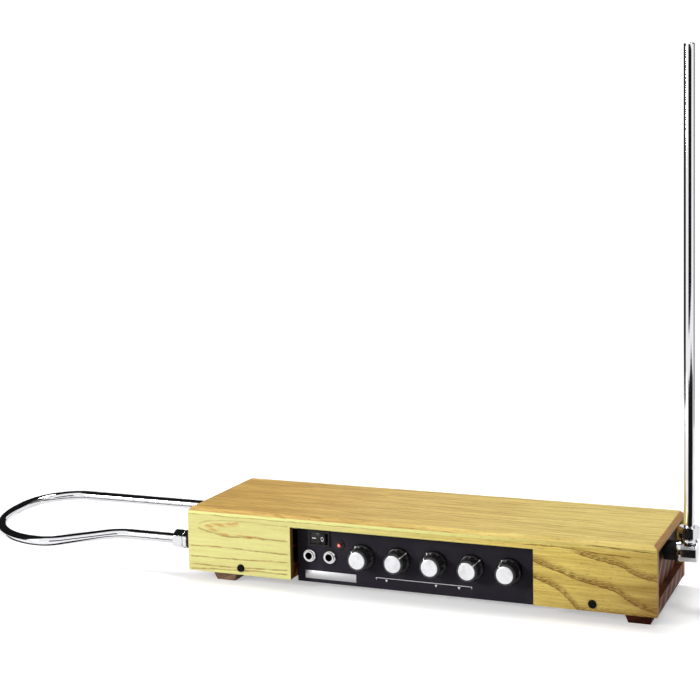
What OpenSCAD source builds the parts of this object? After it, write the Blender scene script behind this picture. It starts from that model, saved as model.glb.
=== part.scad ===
// Theremin: a flat wooden cabinet with a black control panel, an upright pitch
// rod on the right end and a horizontal volume loop on the left end.
// Origin: axis of the stand thread, in the plane of the cabinet's underside.
// +X runs to the pitch rod, +Y to the back, +Z up.  All sizes in millimetres.

/* [Cabinet] */
// Length of the wooden cover
cab_w = 444.5; // [420:0.5:480]
// Depth of the wooden cover, front to back
cab_d = 134; // [130:0.5:150]
// Height of the wooden cover
cab_h = 61; // [60:0.5:66]
// Thickness of the three cover boards
board_t = 6.5; // [6:0.25:8]
// Chamfer round the top board
edge_c = 3.5; // [1:0.25:4]
// Distance from the cover's end to the end panel
end_inset = 6; // [3:0.5:8]
// Thickness of the two end panels
end_t = 12.7; // [10:0.1:15]
// Thickness of the base board
base_t = 12.7; // [12:0.1:13]
// Distance from the cover's end to the base board's end
base_in = 0.5; // [0.25:0.25:3]

/* [Feet] */
// Height of a foot
foot_h = 9.5; // [9:0.25:14]
// Width of a foot along the cabinet, at its top
foot_w = 25; // [22:0.5:28]
// Length of a foot front to back, at its top
foot_l = 52; // [40:1:52]
// How far each side of a foot slopes in
foot_draft = 3; // [1:0.25:4]
// Distance from the cover's end to the left feet's centres
foot_left_in = 34.25; // [24:0.25:40]
// Distance from the cover's end to the right feet's centres
foot_right_in = 17.25; // [17:0.25:40]
// Gap between a foot and the cover's front or back face
foot_margin = 7; // [7:0.5:10]

/* [Control panel] */
// Width of the opening in the front board
cut_w = 231; // [230:0.5:236]
// Height of the opening in the front board
cut_h = 49.5; // [49:0.25:51]
// Distance from the front face back to the control panel
panel_inset = 15; // [12:0.5:16]
// Thickness of the panel's sheet metal
sheet_t = 1.6; // [1.2:0.1:2]
// How far the panel hangs below the cabinet's underside
panel_drop = 4.4; // [4:0.1:4.8]
// Depth of the panel's floor
floor_l = 25; // [24:0.5:26]

/* [Knobs] */
// Distance from one knob to the next
knob_pitch = 34.8; // [32:0.1:35]
// Place of the first knob, from the middle
knob_first = -49.3; // [-52:0.1:-48]
// Height of the knobs' axes
knob_z = 24; // [23:0.5:24.5]
// Diameter of a knob's skirt
skirt_d = 24; // [20:0.5:26]
// Diameter of a knob's barrel at its root
barrel_d = 20.4; // [19:0.1:21]
// Height of a knob above the panel
knob_h = 15; // [14:0.5:18]
// Diameter of the silver cap
cap_d = 15.4; // [13:0.1:15.6]
// Number of flutes round a knob
flutes = 10; // [8:1:14]
// Diameter of a control shaft
shaft_d = 6; // [5.5:0.1:6.2]
// Diameter of a potentiometer's case
pot_d = 16.4; // [15:0.1:17]
// Depth of a potentiometer's case
pot_l = 8.4; // [7:0.1:8.6]

/* [Sockets, switch and light] */
// Place of the left front socket
jack_left = -102.3; // [-103:0.1:-101]
// Distance between the two front sockets
jack_pitch = 20.3; // [18:0.1:21]
// Height of the front sockets
jack_z = 20.9; // [20:0.1:21]
// Bore of a socket for a 6.35 mm plug
plug_d = 6.5; // [6.4:0.01:6.55]
// Outer diameter of a socket's bushing
bush_d = 9.4; // [8.5:0.1:9.6]
// Outer diameter of a socket's dress nut
dress_d = 12.6; // [12:0.1:13]
// Depth of a socket's bore
jack_l = 31; // [30.5:0.1:31.5]
// Distance from the panel's face back to the floor sockets
cv_inset = 16; // [15.8:0.1:16.4]
// Place of the power switch
switch_x = -92.3; // [-93:0.1:-90]
// Height of the power switch
switch_z = 37.5; // [37:0.1:38]
// Width of the switch bezel
switch_w = 21; // [20.5:0.1:22]
// Height of the switch bezel
switch_h = 14.2; // [14:0.1:15]
// Travel of the rocker from one side to the other, in degrees
rocker_tilt = 20; // [14:1:22]
// Place of the power light
led_x = -71.7; // [-73:0.1:-70]
// Height of the power light
led_z = 33.1; // [32:0.1:34]
// Diameter of the power light
led_d = 5; // [4.5:0.1:5.2]

/* [Antennas] */
// Diameter of the antenna tube
tube_d = 9.525; // [9:0.025:9.6]
// Wall of the antenna tube
tube_wall = 0.9; // [0.7:0.1:1.5]
// Length of the pitch rod
rod_l = 432; // [380:1:460]
// Distance from the cover's end out to the pitch rod's axis
rod_out = 15.25; // [14:0.25:18]
// Height of the hole for the pitch fitting
pitch_z = 41; // [38:0.5:42]
// Width across flats of the compression nuts
nut_af = 15.9; // [15.5:0.1:17]
// Length of a compression nut
nut_l = 10.5; // [10:0.25:12.5]
// Thread diameter of the fittings
thread_d = 13; // [12.6:0.1:13.2]
// Place of the loop's front leg, front to back
leg_y = -47.8; // [-48:0.1:-46]
// Height of the loop's front leg
leg_z = 23.6; // [23:0.1:25]
// Distance between the two legs, in the plane of the loop
leg_gap = 100.1; // [95:0.1:100.5]
// Tilt of the loop's plane, rising to the back
loop_tilt = 4.4; // [0:0.1:5]
// Reach of the loop from the cover's end
loop_reach = 235.75; // [220:0.25:260]
// Bend radius of the loop's far front corner
far_r = 80; // [70:1:84]
// Bend radius of the loop's back corner
back_r = 52; // [40:1:54]
// Bend radius next to the front leg
s_out_r = 46.5; // [36:0.5:50]
// Bend radius where the bulge starts
s_in_r = 36; // [30:0.5:40]
// Straight stretch between those two bends
s_straight = 42.5; // [30:0.5:45]

/* [Stand mount] */
// Tapping diameter of the 5/8-27 stand thread
stand_d = 14.9; // [14.5:0.1:15.2]
// Diameter of the stand flange
flange_d = 50; // [44:0.5:50.4]
// Thickness of the stand flange
flange_t = 3; // [2:0.25:4]
// Diameter of the flange's threaded hub
hub_d = 24; // [20:0.5:25]

/* [Circuit board] */
// Length of the circuit board
pcb_w = 300; // [260:1:310]
// Depth of the circuit board
pcb_d = 66; // [60:1:68]
// Height of the board's standoffs
standoff_h = 6; // [5:0.5:8]

/* [Hidden] */
$fn = 64;
run = 0.05;               // radial clearance of a running fit
gap = 0.3;                // clearance between separate pieces
hole_gap = 0.1;           // radial clearance of a fixed shank in its hole
fixed_fit = 0.02;         // radial clearance of a knob on its shaft
x_end = cab_w / 2;
y_front = -cab_d / 2;
y_back = cab_d / 2;
in_y = cab_d / 2 - board_t - gap;      // half depth of the inner case
under_top = cab_h - board_t;           // underside of the top board
end_out = x_end - end_inset;           // outer face of an end panel
end_in = end_out - end_t;              // inner face of an end panel
base_end = x_end - base_in;
panel_y = y_front + panel_inset;       // visible face of the control panel
panel_back = panel_y + sheet_t;
panel_gap = 0.6;                       // between the panel's end and the opening
panel_w = cut_w - 2 * panel_gap;
floor_y = panel_y + floor_l;           // back of the panel's floor
floor_z = -panel_drop;
floor_top = floor_z + sheet_t;
lip_h = 9;
panel_lap = 2.5;                       // panel hidden above the opening
notch_gap = 1.1;                       // between the panel's end and the base board
notch_w = panel_w + 2 * notch_gap;
bite = 0.5;                            // how deep joined shapes run into each other

knobs = 5;
function knob_x(i) = knob_first + i * knob_pitch;
pointer_out = 48;                      // degrees right of upright
pointer_in = -35;                      // degrees left of upright
function pointer(i) = i % 2 == 1 ? pointer_out : pointer_in;

skirt_gap = 0.8;
skirt_t = 2.4;
barrel_taper = 0.5;
cap_seat = 0.6;
cap_t = 1.1;
pot_bush_d = 8;
pot_bush_l = 5.2;                      // in front of the panel
pot_nut_af = 10.4;
pot_nut_t = 2;
knob_recess_d = 14;
shaft_reach = 11.5;                    // in front of the panel
shaft_tail = 6;                        // inside the case

bush_out = 3.2;                        // bushing in front of the panel
dress_t = 2.5;
jack_w = 13;
cv_body_w = 10.4;                      // body depth of a floor socket
cv_x = [-26.3, 21.4, 43.1];
cv_y = panel_y + cv_inset;
inlet_x = -64;
inlet_bush_d = 8;
inlet_bore_d = 5.7;
inlet_pin_d = 2;
inlet_out = 1.5;
inlet_w = 9;
inlet_d = 10;
inlet_h = 11;
inlet_bore_l = 10;
inlet_pin_l = 9.5;

bezel_t = 1.6;
window_w = 18.2;
window_h = 10.8;
rocker_w = 16.2;
rocker_h = 10.2;
rocker_pin_d = 2;
switch_depth = 14;
switch_wall = 3;                       // back wall of the housing
switch_lap = 0.8;                      // bezel over the hole's edge
pivot_in = 2.4;
pivot_y = panel_y + pivot_in;
pin_bite = 0.45;                       // pivot pin in each wall of the housing
pin_slack = 0.15;

led_flange = 1;
led_rim = 1.15;
led_out = 1.9;
led_body_l = 7;
led_lip = 0.6;

rod_x = x_end + rod_out;
block_w = 17;                          // forged elbow, across its flats
block_c = 5;                           // its four long chamfers
block_in = 6.7;                        // from the rod's axis towards the cabinet
block_out = 6.9;                       // from the rod's axis outwards
block_x0 = rod_x - block_in;
block_x1 = rod_x + block_out;
nut_rise = 12;
nut_low = pitch_z + nut_rise;          // underside of the pitch nut
nut_gap = 0.4;                         // between a nut and the body it closes on
rod_rise = 8;
rod_z0 = pitch_z + rod_rise;
seat_gap = 0.4;                        // under the end of a tube
socket_floor = rod_z0 - seat_gap;
male_l = 7.5;                          // thread inside a nut
male_top = nut_low + male_l;
thread_r = thread_d / 2;
flange_r = 9.4;
flange_len = 3.3;
tail_in = 7.5;                         // thread showing inside an end panel
lock_af = 19;
lock_t = 5;

vol_hex_l = 4.1;
spacer_l = 14.9;
vol_hex_x = -end_out - spacer_l;       // inner face of the hex body
vol_nut_x = vol_hex_x - vol_hex_l - nut_gap;
leg_past = 1;                          // front leg past the hexagon
leg_end = vol_hex_x + leg_past;
back_leg_past = 8.5;                   // back leg past the end panel
back_leg_end = -end_in + back_leg_past;
socket_d = 12;
socket_flange_d = 16;
socket_flange_t = 2.2;
socket_past = 1.5;                     // socket past the end panel

hub_top = base_t;
pcb_t = 1.6;
pcb_z = base_t + standoff_h;
pcb_x = 20;
pcb_y = 16;
pcb_screw_x = 18;                      // from the board's end to a standoff
pcb_screw_y = 5;                       // from the board's edge to a standoff
standoff_d = 7;
stud_d = 3.2;
stud_head_d = 5;
stud_head_h = 2;
board_top = pcb_z + pcb_t;
coils = 6;
coils_right = 4;
coil_d = 12;
coil_h = 15;
coil_flange = 1.2;
coil_core_d = 10;
coil_pitch = 16;
coil_edge = 12;                        // from the board's end to the first coil
coil_row = 19;                         // from the board's back edge
cans = 6;
can_d = 8;
can_h = 12;
can_pitch = 20;
can_first = 60;                        // from the board's middle
can_row = 13;                          // from the board's back edge
chip_count = 5;
chip_w = 18;
chip_d = 6.4;
chip_h = 3.6;
chip_pitch = 36;
chip_first = 80;                       // from the board's middle
chip_row = 25;                         // from the board's front edge

screw_d = 3.5;
pan_d = 7;
pan_h = 2.3;
pan_taper = 1.4;
slot_w = 0.9;
slot_t = 1.1;
head_gap = 0.4;                        // round a screw head in its recess
cover_screw_d = 7.6;
cover_screw_h = 1.8;
cover_screw_l = 18;
cover_screw_x = 167;
cover_screw_z = 6.5;
cut_on = 1;                            // how far a cut runs on past a face

// ---------- shared shapes ----------

// A box given by its low corner and its high corner
module block(low, high) {
    translate(low) cube(high - low);
}

// A box centred on x and z, from one y to another
module block_xz(x, z, w, h, y0, y1) {
    block([x - w / 2, y0, z - h / 2], [x + w / 2, y1, z + h / 2]);
}

// A cylinder along +Y that starts at a point
module rod_y(at, d, l) {
    translate(at) rotate([-90, 0, 0]) cylinder(d = d, h = l);
}

// A cylinder along +X that starts at a point
module rod_x_dir(at, d, l) {
    translate(at) rotate([0, 90, 0]) cylinder(d = d, h = l);
}

// A hexagon bar along +Z with both rims chamfered
module hex_bar(af, l, c = 0.8) {
    corner = af / cos(30);
    intersection() {
        cylinder(d = corner, h = l, $fn = 6);
        rotate_extrude()
            polygon([[0, 0], [corner / 2 - c, 0], [corner / 2, c],
                [corner / 2, l - c], [corner / 2 - c, l], [0, l]]);
    }
}

// A pan-head screw along +Z, its head below z = 0, with a cross slot
module pan_screw(l, head_d = pan_d, head_h = pan_h) {
    difference() {
        union() {
            translate([0, 0, -head_h])
                cylinder(d1 = head_d - pan_taper, d2 = head_d, h = head_h);
            cylinder(d = screw_d, h = l);
        }
        for (a = [0, 90])
            rotate([0, 0, a])
                translate([-head_d / 4, -slot_w / 2, -head_h - cut_on])
                    cube([head_d / 2, slot_w, slot_t + cut_on]);
    }
}

// The pilot hole of a screw of length l
module pilot(l) {
    translate([0, 0, -0.01])
        cylinder(d = screw_d + 2 * hole_gap, h = l + 0.5);
}

// ---------- cabinet ----------

// A long prism that cuts a chamfer along X
module chamfer_x(l) {
    rotate([90, 0, 90])
        linear_extrude(l, center = true)
            polygon([[-edge_c, 0.01], [0.01, 0.01], [0.01, -edge_c]]);
}

module cover_top() {
    color("#d8b878")
        difference() {
            block([-x_end, y_front, under_top], [x_end, y_back, cab_h]);
            for (s = [0, 1])
                mirror([0, s, 0])
                    translate([0, y_back, cab_h]) chamfer_x(cab_w + 2);
            for (s = [0, 1])
                mirror([s, 0, 0])
                    translate([x_end, 0, cab_h])
                        rotate([0, 0, -90]) chamfer_x(cab_d + 2);
        }
}

// Screw places on the front and back boards
module at_cover_screws() {
    for (x = [-cover_screw_x, cover_screw_x], side = [0, 1])
        mirror([0, side, 0])
            translate([x, y_front, cover_screw_z])
                rotate([-90, 0, 0])
                    children();
}

module cover_board(y0) {
    block([-x_end, y0, 0], [x_end, y0 + board_t, under_top]);
}

module cover_front() {
    color("#e6dc8c")
        difference() {
            cover_board(y_front);
            block([-cut_w / 2, y_front - cut_on, -cut_on],
                [cut_w / 2, y_front + board_t + cut_on, cut_h]);
            at_cover_screws() pilot(board_t);
        }
}

module cover_back() {
    color("#e0cf84")
        difference() {
            cover_board(y_back - board_t);
            at_cover_screws() pilot(board_t);
        }
}

module cover_screws() {
    color("#1c1a1a")
        at_cover_screws() pan_screw(cover_screw_l, cover_screw_d, cover_screw_h);
}

strip = 10;
strip_gap = 3;                         // beside the base board's notch
corner_l = 52;                         // length of a corner strip on the base board

module glue_blocks() {
    color("#c9b48c") {
        strip_x = notch_w / 2 + strip_gap;
        for (s = [0, 1])
            mirror([s, 0, 0])
                block([strip_x, y_front + board_t, under_top - strip],
                    [end_in, y_front + board_t + strip, under_top]);
        block([-end_in, y_back - board_t - strip, under_top - strip],
            [end_in, y_back - board_t, under_top]);
        for (s = [0, 1])
            mirror([s, 0, 0])
                block([end_in - strip, -corner_l / 2, base_t],
                    [end_in, corner_l / 2, base_t + strip]);
    }
}

// Foot centres: x and side (-1 front, 1 back)
foot_y = y_back - foot_margin - foot_l / 2;
foot_left = foot_left_in - x_end;
foot_right = x_end - foot_right_in;
foot_xs = [foot_left, foot_right];

foot_screw_l = 14;
foot_screw_up = 4;                     // screw head above the foot's underside
foot_screw_z = -foot_h + foot_screw_up;

module at_foot_screws(x, side) {
    for (dy = [-foot_l / 4, foot_l / 4])
        translate([x, side * foot_y + dy, foot_screw_z]) children();
}

module at_all_foot_screws() {
    for (x = foot_xs, side = [-1, 1])
        at_foot_screws(x, side) children();
}

flange_screws = 3;
flange_screw_l = 10;

module at_flange_screws() {
    for (i = [0 : flange_screws - 1])
        rotate([0, 0, 90 + i * 360 / flange_screws])
            translate([(flange_d + hub_d) / 4, 0, -flange_t]) children();
}

lip_screw_x = 95;
lip_screw_l = 12;
lip_screw_z = 3.5;

module at_lip_screws() {
    for (x = [-lip_screw_x, lip_screw_x])
        translate([x, floor_y - sheet_t, lip_screw_z]) rotate([-90, 0, 0]) children();
}

module base_board() {
    color("#6b3a26")
        difference() {
            block([-base_end, -in_y, 0], [base_end, in_y, base_t]);
            block([-notch_w / 2, -in_y - cut_on, -cut_on],
                [notch_w / 2, floor_y, base_t + cut_on]);
            translate([0, 0, -cut_on])
                cylinder(d = hub_d + 4 * hole_gap, h = base_t + 2 * cut_on);
            at_cover_screws() pilot(cover_screw_l);
            at_all_foot_screws() pilot(foot_screw_l);
            at_flange_screws() pilot(flange_screw_l);
            at_lip_screws() pilot(lip_screw_l);
        }
}

// An end panel stands on the base board
module end_panel() {
    block([end_in, -in_y, base_t], [end_out, in_y, under_top]);
}

module end_panel_right() {
    color("#5a2a20")
        difference() {
            end_panel();
            rod_x_dir([end_in - cut_on, 0, pitch_z], thread_d + 2 * hole_gap,
                end_t + 2 * cut_on);
        }
}

// Axis of the loop's back leg
back_leg_y = leg_y + leg_gap * cos(loop_tilt);
back_leg_z = leg_z + leg_gap * sin(loop_tilt);

module end_panel_left() {
    color("#5a2a20")
        difference() {
            mirror([1, 0, 0]) end_panel();
            rod_x_dir([-end_out - cut_on, leg_y, leg_z], thread_d + 2 * hole_gap,
                end_t + 2 * cut_on);
            rod_x_dir([-end_out - cut_on, back_leg_y, back_leg_z], socket_d + 2 * hole_gap,
                end_t + 2 * cut_on);
        }
}

// A block whose four sides slope in towards its underside
module foot(x, side) {
    color("#4a2018")
        difference() {
            translate([x, side * foot_y, 0])
                intersection() {
                    rotate([90, 0, 0])
                        linear_extrude(foot_l, center = true)
                            polygon([[-foot_w / 2, 0], [foot_w / 2, 0],
                                [foot_w / 2 - foot_draft, -foot_h],
                                [-foot_w / 2 + foot_draft, -foot_h]]);
                    rotate([90, 0, 90])
                        linear_extrude(foot_w, center = true)
                            polygon([[-foot_l / 2, 0], [foot_l / 2, 0],
                                [foot_l / 2 - foot_draft, -foot_h],
                                [-foot_l / 2 + foot_draft, -foot_h]]);
                }
            at_foot_screws(x, side) {
                pilot(foot_h);
                translate([0, 0, -foot_h])
                    cylinder(d = pan_d + 2 * head_gap, h = foot_h);
            }
        }
}

module wood_screws() {
    color("#b8b8bc") {
        at_all_foot_screws() pan_screw(foot_screw_l);
        at_flange_screws() pan_screw(flange_screw_l);
        at_lip_screws() pan_screw(lip_screw_l);
    }
}

module stand_flange() {
    color("#b4b4b8")
        difference() {
            union() {
                translate([0, 0, -flange_t]) cylinder(d = flange_d, h = flange_t);
                cylinder(d = hub_d, h = hub_top);
            }
            translate([0, 0, -flange_t - cut_on])
                cylinder(d = stand_d, h = flange_t + hub_top + 2 * cut_on);
            at_flange_screws() pilot(flange_t);
        }
}

// ---------- control panel ----------

module at_knobs() {
    for (i = [0 : knobs - 1])
        translate([knob_x(i), panel_y, knob_z]) children();
}

module at_front_jacks() {
    for (i = [0, 1])
        translate([jack_left + i * jack_pitch, panel_y, jack_z])
            rotate([-90, 0, 0]) children();
}

module at_cv_jacks() {
    for (x = cv_x)
        translate([x, cv_y, floor_z]) children();
}

module control_panel() {
    through = sheet_t + 2 * cut_on;
    color("#1e1c20")
        difference() {
            union() {
                block([-panel_w / 2, panel_y, floor_z],
                    [panel_w / 2, panel_back, cut_h + panel_lap]);
                block([-panel_w / 2, panel_y, floor_z], [panel_w / 2, floor_y, floor_top]);
                block([-panel_w / 2, floor_y - sheet_t, floor_z], [panel_w / 2, floor_y, lip_h]);
            }
            at_knobs()
                rod_y([0, -cut_on, 0], pot_bush_d + 2 * hole_gap, through);
            at_front_jacks()
                translate([0, 0, -cut_on]) cylinder(d = bush_d + 2 * hole_gap, h = through);
            at_cv_jacks()
                translate([0, 0, -cut_on]) cylinder(d = bush_d + 2 * hole_gap, h = through);
            translate([inlet_x, cv_y, floor_z - cut_on])
                cylinder(d = inlet_bush_d + 2 * hole_gap, h = through);
            rod_y([led_x, panel_y - cut_on, led_z], led_d + 2 * led_rim + 2 * hole_gap, through);
            block_xz(switch_x, switch_z, switch_w - 2 * switch_lap, switch_h - 2 * switch_lap,
                panel_y - cut_on, panel_back + cut_on);
            at_lip_screws() pilot(sheet_t);
        }
}

// ---------- switch and light ----------

module switch_housing() {
    body_in = 2 * (switch_lap + hole_gap);
    color("#101014")
        difference() {
            union() {
                block_xz(switch_x, switch_z, switch_w, switch_h, panel_y - bezel_t, panel_y);
                block_xz(switch_x, switch_z, switch_w - body_in, switch_h - body_in,
                    panel_y, panel_y + switch_depth);
            }
            block_xz(switch_x, switch_z, window_w, window_h,
                panel_y - bezel_t - cut_on, panel_y + switch_depth - switch_wall);
            translate([switch_x, pivot_y, switch_z])
                cylinder(d = rocker_pin_d + 2 * run,
                    h = window_h + 2 * (pin_bite + pin_slack), center = true);
        }
}

// Profile seen from above; the front is two faces that meet in a shallow valley
module rocker_profile() {
    half = rocker_w / 2;
    proud = 4.6;
    valley = 3.4;
    shoulder = 0.6;
    root = 4.5;
    root_l = 4.2;
    polygon([[-half, -proud], [0, -valley], [half, -proud], [half, -shoulder],
        [root, root_l], [-root, root_l], [-half, -shoulder]]);
}

module switch_rocker() {
    color("#16161a")
        translate([switch_x, pivot_y, switch_z])
            rotate([0, 0, -rocker_tilt / 2]) {
                linear_extrude(rocker_h, center = true) rocker_profile();
                cylinder(d = rocker_pin_d, h = window_h + 2 * pin_bite, center = true);
            }
}

module led_bezel() {
    outer = led_d + 2 * led_rim;
    color("#141416")
        translate([led_x, panel_y, led_z])
            difference() {
                union() {
                    rod_y([0, -led_flange, 0], outer + 2 * led_lip, led_flange);
                    rod_y([0, 0, 0], outer, led_body_l);
                }
                rod_y([0, -led_flange - cut_on, 0], led_d + 2 * hole_gap,
                    led_body_l + led_flange + 2 * cut_on);
            }
}

module power_led() {
    color("#e02020")
        translate([led_x, panel_y - led_out, led_z])
            rotate([-90, 0, 0]) {
                translate([0, 0, led_d / 2])
                    cylinder(d = led_d, h = led_out + led_body_l - led_d / 2);
                intersection() {
                    translate([0, 0, led_d / 2]) sphere(d = led_d);
                    cylinder(d = led_d + 1, h = led_d / 2);
                }
            }
}

// ---------- sockets ----------

// A plug socket along +Z: z = 0 is the visible face of the sheet
module jack(body_w, body_d) {
    back = 1.5;
    difference() {
        union() {
            translate([0, 0, -bush_out]) cylinder(d = bush_d, h = bush_out + sheet_t + bite);
            translate([-body_w / 2, -body_d / 2, sheet_t])
                cube([body_w, body_d, jack_l - bush_out - sheet_t + back]);
        }
        translate([0, 0, -bush_out - cut_on]) cylinder(d = plug_d, h = jack_l + cut_on);
    }
}

// The round nut with six notches that holds a socket in its hole
module dress_nut() {
    rim = 0.8;
    notches = 6;
    notch_d = 1.6;
    notch_out = 0.35;
    difference() {
        rotate_extrude()
            polygon([[bush_d / 2 + run, -dress_t], [dress_d / 2 - rim, -dress_t],
                [dress_d / 2, -dress_t + rim], [dress_d / 2, 0], [bush_d / 2 + run, 0]]);
        for (k = [0 : notches - 1])
            rotate([0, 0, k * 360 / notches])
                translate([dress_d / 2 + notch_out, 0, -dress_t - cut_on])
                    cylinder(d = notch_d, h = dress_t + 2 * cut_on, $fn = 24);
    }
}

module line_jack() {
    color("#222226")
        translate([jack_left, panel_y, jack_z])
            rotate([-90, 0, 0]) jack(jack_w, jack_w);
}

module phones_jack() {
    color("#222226")
        translate([jack_left + jack_pitch, panel_y, jack_z])
            rotate([-90, 0, 0]) jack(jack_w, jack_w);
}

module cv_jacks() {
    color("#222226")
        at_cv_jacks() jack(jack_w, cv_body_w);
}

module jack_nuts() {
    color("#d8d8dc") {
        at_front_jacks() dress_nut();
        at_cv_jacks() dress_nut();
    }
}

module dc_inlet() {
    color("#18181c")
        translate([inlet_x, cv_y, floor_z]) {
            difference() {
                union() {
                    translate([0, 0, -inlet_out])
                        cylinder(d = inlet_bush_d, h = inlet_out + sheet_t + bite);
                    translate([-inlet_w / 2, -inlet_d / 2, sheet_t])
                        cube([inlet_w, inlet_d, inlet_h]);
                }
                translate([0, 0, -inlet_out - cut_on])
                    cylinder(d = inlet_bore_d, h = inlet_bore_l + cut_on);
            }
            cylinder(d = inlet_pin_d, h = inlet_pin_l);
        }
}

// ---------- potentiometers and knobs ----------

// One potentiometer: case behind the panel, bushing through it, three tags below
module pot(i) {
    tag_pitch = 3.5;
    tag_w = 1.6;
    tag_t = 0.8;
    tag_l = 3;
    tag_in = 2;
    tag_back = sheet_t + pot_l - 1.7;
    color("#8c8f94")
        translate([knob_x(i), panel_y, knob_z])
            difference() {
                union() {
                    rod_y([0, sheet_t, 0], pot_d, pot_l);
                    rod_y([0, -pot_bush_l, 0], pot_bush_d, pot_bush_l + sheet_t + bite);
                    for (k = [-1 : 1])
                        block([k * tag_pitch - tag_w / 2, tag_back - tag_t, -pot_d / 2 - tag_l],
                            [k * tag_pitch + tag_w / 2, tag_back, -pot_d / 2 + tag_in]);
                }
                rod_y([0, -pot_bush_l - cut_on, 0], shaft_d + 2 * run,
                    pot_bush_l + cut_on + sheet_t + shaft_tail + seat_gap);
            }
}

module pot_nuts() {
    color("#c8c8cc")
        at_knobs()
            rotate([90, 0, 0])
                difference() {
                    hex_bar(pot_nut_af, pot_nut_t, 0.4);
                    translate([0, 0, -cut_on])
                        cylinder(d = pot_bush_d + 2 * run, h = pot_nut_t + 2 * cut_on);
                }
}

module shaft(i) {
    color("#c0c0c4")
        translate([knob_x(i), panel_y, knob_z])
            rod_y([0, -shaft_reach, 0], shaft_d, shaft_reach + sheet_t + shaft_tail);
}

// A skirted knob along +Z, standing on the panel at z = 0, pointer towards +Y
module knob_shape() {
    barrel_z = skirt_gap + skirt_t;
    barrel_r = barrel_d / 2;
    top_r = barrel_r - barrel_taper;
    seat_r = cap_d / 2 + hole_gap;
    skirt_r = skirt_d / 2;
    recess_r = knob_recess_d / 2;
    recess_z = pot_bush_l + 1.2;
    rim = 0.3;                         // rounded lower rim of the skirt
    bevel = 0.9;                       // sloped upper rim of the skirt
    step = 0.2;
    crown = 1.2;                       // slope at the barrel's top
    lip = 0.4;                         // flat rim round the cap
    flute_d = 5;
    flute_out = 1.7;
    difference() {
        rotate_extrude()
            polygon([[recess_r, skirt_gap], [skirt_r - rim, skirt_gap],
                [skirt_r, skirt_gap + rim], [skirt_r, skirt_gap + bevel],
                [skirt_r - bevel, barrel_z - step], [barrel_r, barrel_z],
                [top_r, knob_h - crown], [seat_r + lip, knob_h], [seat_r, knob_h],
                [seat_r, knob_h - cap_seat], [0, knob_h - cap_seat],
                [0, recess_z], [recess_r, recess_z]]);
        translate([0, 0, pot_bush_l])
            cylinder(d = shaft_d + 2 * fixed_fit, h = shaft_reach - pot_bush_l + gap);
        for (k = [0 : flutes - 1])
            rotate([0, 0, (k + 0.5) * 360 / flutes])
                translate([barrel_r + flute_out, 0, barrel_z + rim])
                    cylinder(d = flute_d, h = knob_h, $fn = 32);
    }
}

// Turns a shape so that its pointer shows the knob's rest setting
module set_knob(i) {
    translate([knob_x(i), panel_y, knob_z])
        rotate([90, pointer(i), 0]) children();
}

module knob(i) {
    color("#6e7076")
        set_knob(i) knob_shape();
}

module cap(i) {
    r = cap_d / 2;
    c = 0.3;
    color("#e4e4e8")
        set_knob(i)
            translate([0, 0, knob_h - cap_seat])
                rotate_extrude()
                    polygon([[0, 0], [r, 0], [r, cap_t - c], [r - c, cap_t], [0, cap_t]]);
}

// ---------- circuit board ----------

module main_board() {
    color("#1f6b3a")
        difference() {
            translate([pcb_x - pcb_w / 2, pcb_y - pcb_d / 2, pcb_z]) cube([pcb_w, pcb_d, pcb_t]);
            at_standoffs()
                translate([0, 0, pcb_z - cut_on])
                    cylinder(d = stud_d + 2 * hole_gap, h = pcb_t + 2 * cut_on);
        }
}

module at_standoffs() {
    for (sx = [-1, 0, 1], sy = [-1, 1])
        translate([pcb_x + sx * (pcb_w / 2 - pcb_screw_x),
            pcb_y + sy * (pcb_d / 2 - pcb_screw_y), 0]) children();
}

module board_standoffs() {
    color("#e8e4d8")
        at_standoffs()
            translate([0, 0, base_t]) {
                cylinder(d = standoff_d, h = standoff_h);
                cylinder(d = stud_d, h = standoff_h + pcb_t + bite);
                translate([0, 0, standoff_h + pcb_t])
                    cylinder(d1 = stud_head_d, d2 = stud_d, h = stud_head_h);
            }
}

// Place of a coil, counted in from the right end and then from the left end
function coil_x(i) = i < coils_right
    ? pcb_x + pcb_w / 2 - coil_edge - i * coil_pitch
    : pcb_x - pcb_w / 2 + coil_edge + (i - coils_right) * coil_pitch;

// Bobbin coils: four by the pitch end, two by the volume end
module tuning_coils() {
    color("#b4602c")
        for (i = [0 : coils - 1])
            translate([coil_x(i), pcb_y + pcb_d / 2 - coil_row, board_top]) {
                cylinder(d = coil_d, h = coil_flange);
                cylinder(d = coil_core_d, h = coil_h);
                translate([0, 0, coil_h - coil_flange]) cylinder(d = coil_d, h = coil_flange);
            }
}

module capacitors() {
    color("#24345c")
        for (i = [0 : cans - 1])
            translate([pcb_x - can_first + i * can_pitch, pcb_y + pcb_d / 2 - can_row, board_top])
                cylinder(d = can_d, h = can_h);
}

module chips() {
    color("#18181a")
        for (i = [0 : chip_count - 1])
            translate([pcb_x - chip_first + i * chip_pitch, pcb_y - pcb_d / 2 + chip_row, board_top])
                cube([chip_w, chip_d, chip_h]);
}

// ---------- pitch antenna ----------

module pitch_rod() {
    r = tube_d / 2;
    top = rod_z0 + rod_l;
    dome = 1.2;
    plug = 3;
    color("#c8c8cc")
        translate([rod_x, 0, 0])
            rotate_extrude()
                polygon([[r - tube_wall, rod_z0], [r, rod_z0], [r, top - dome],
                    [r - 0.3 * dome, top - 0.3 * dome], [r - dome, top], [0, top],
                    [0, top - plug], [r - tube_wall, top - plug]]);
}

// A compression nut along +Z, its open thread end at z = 0
module compression_nut(thread_l) {
    difference() {
        hex_bar(nut_af, nut_l, 1);
        translate([0, 0, -cut_on])
            cylinder(d = thread_d + 2 * (run + fixed_fit), h = thread_l + cut_on);
        cylinder(d = tube_d + 4 * run, h = nut_l + cut_on);
    }
}

nut_thread_l = 8;

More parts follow.
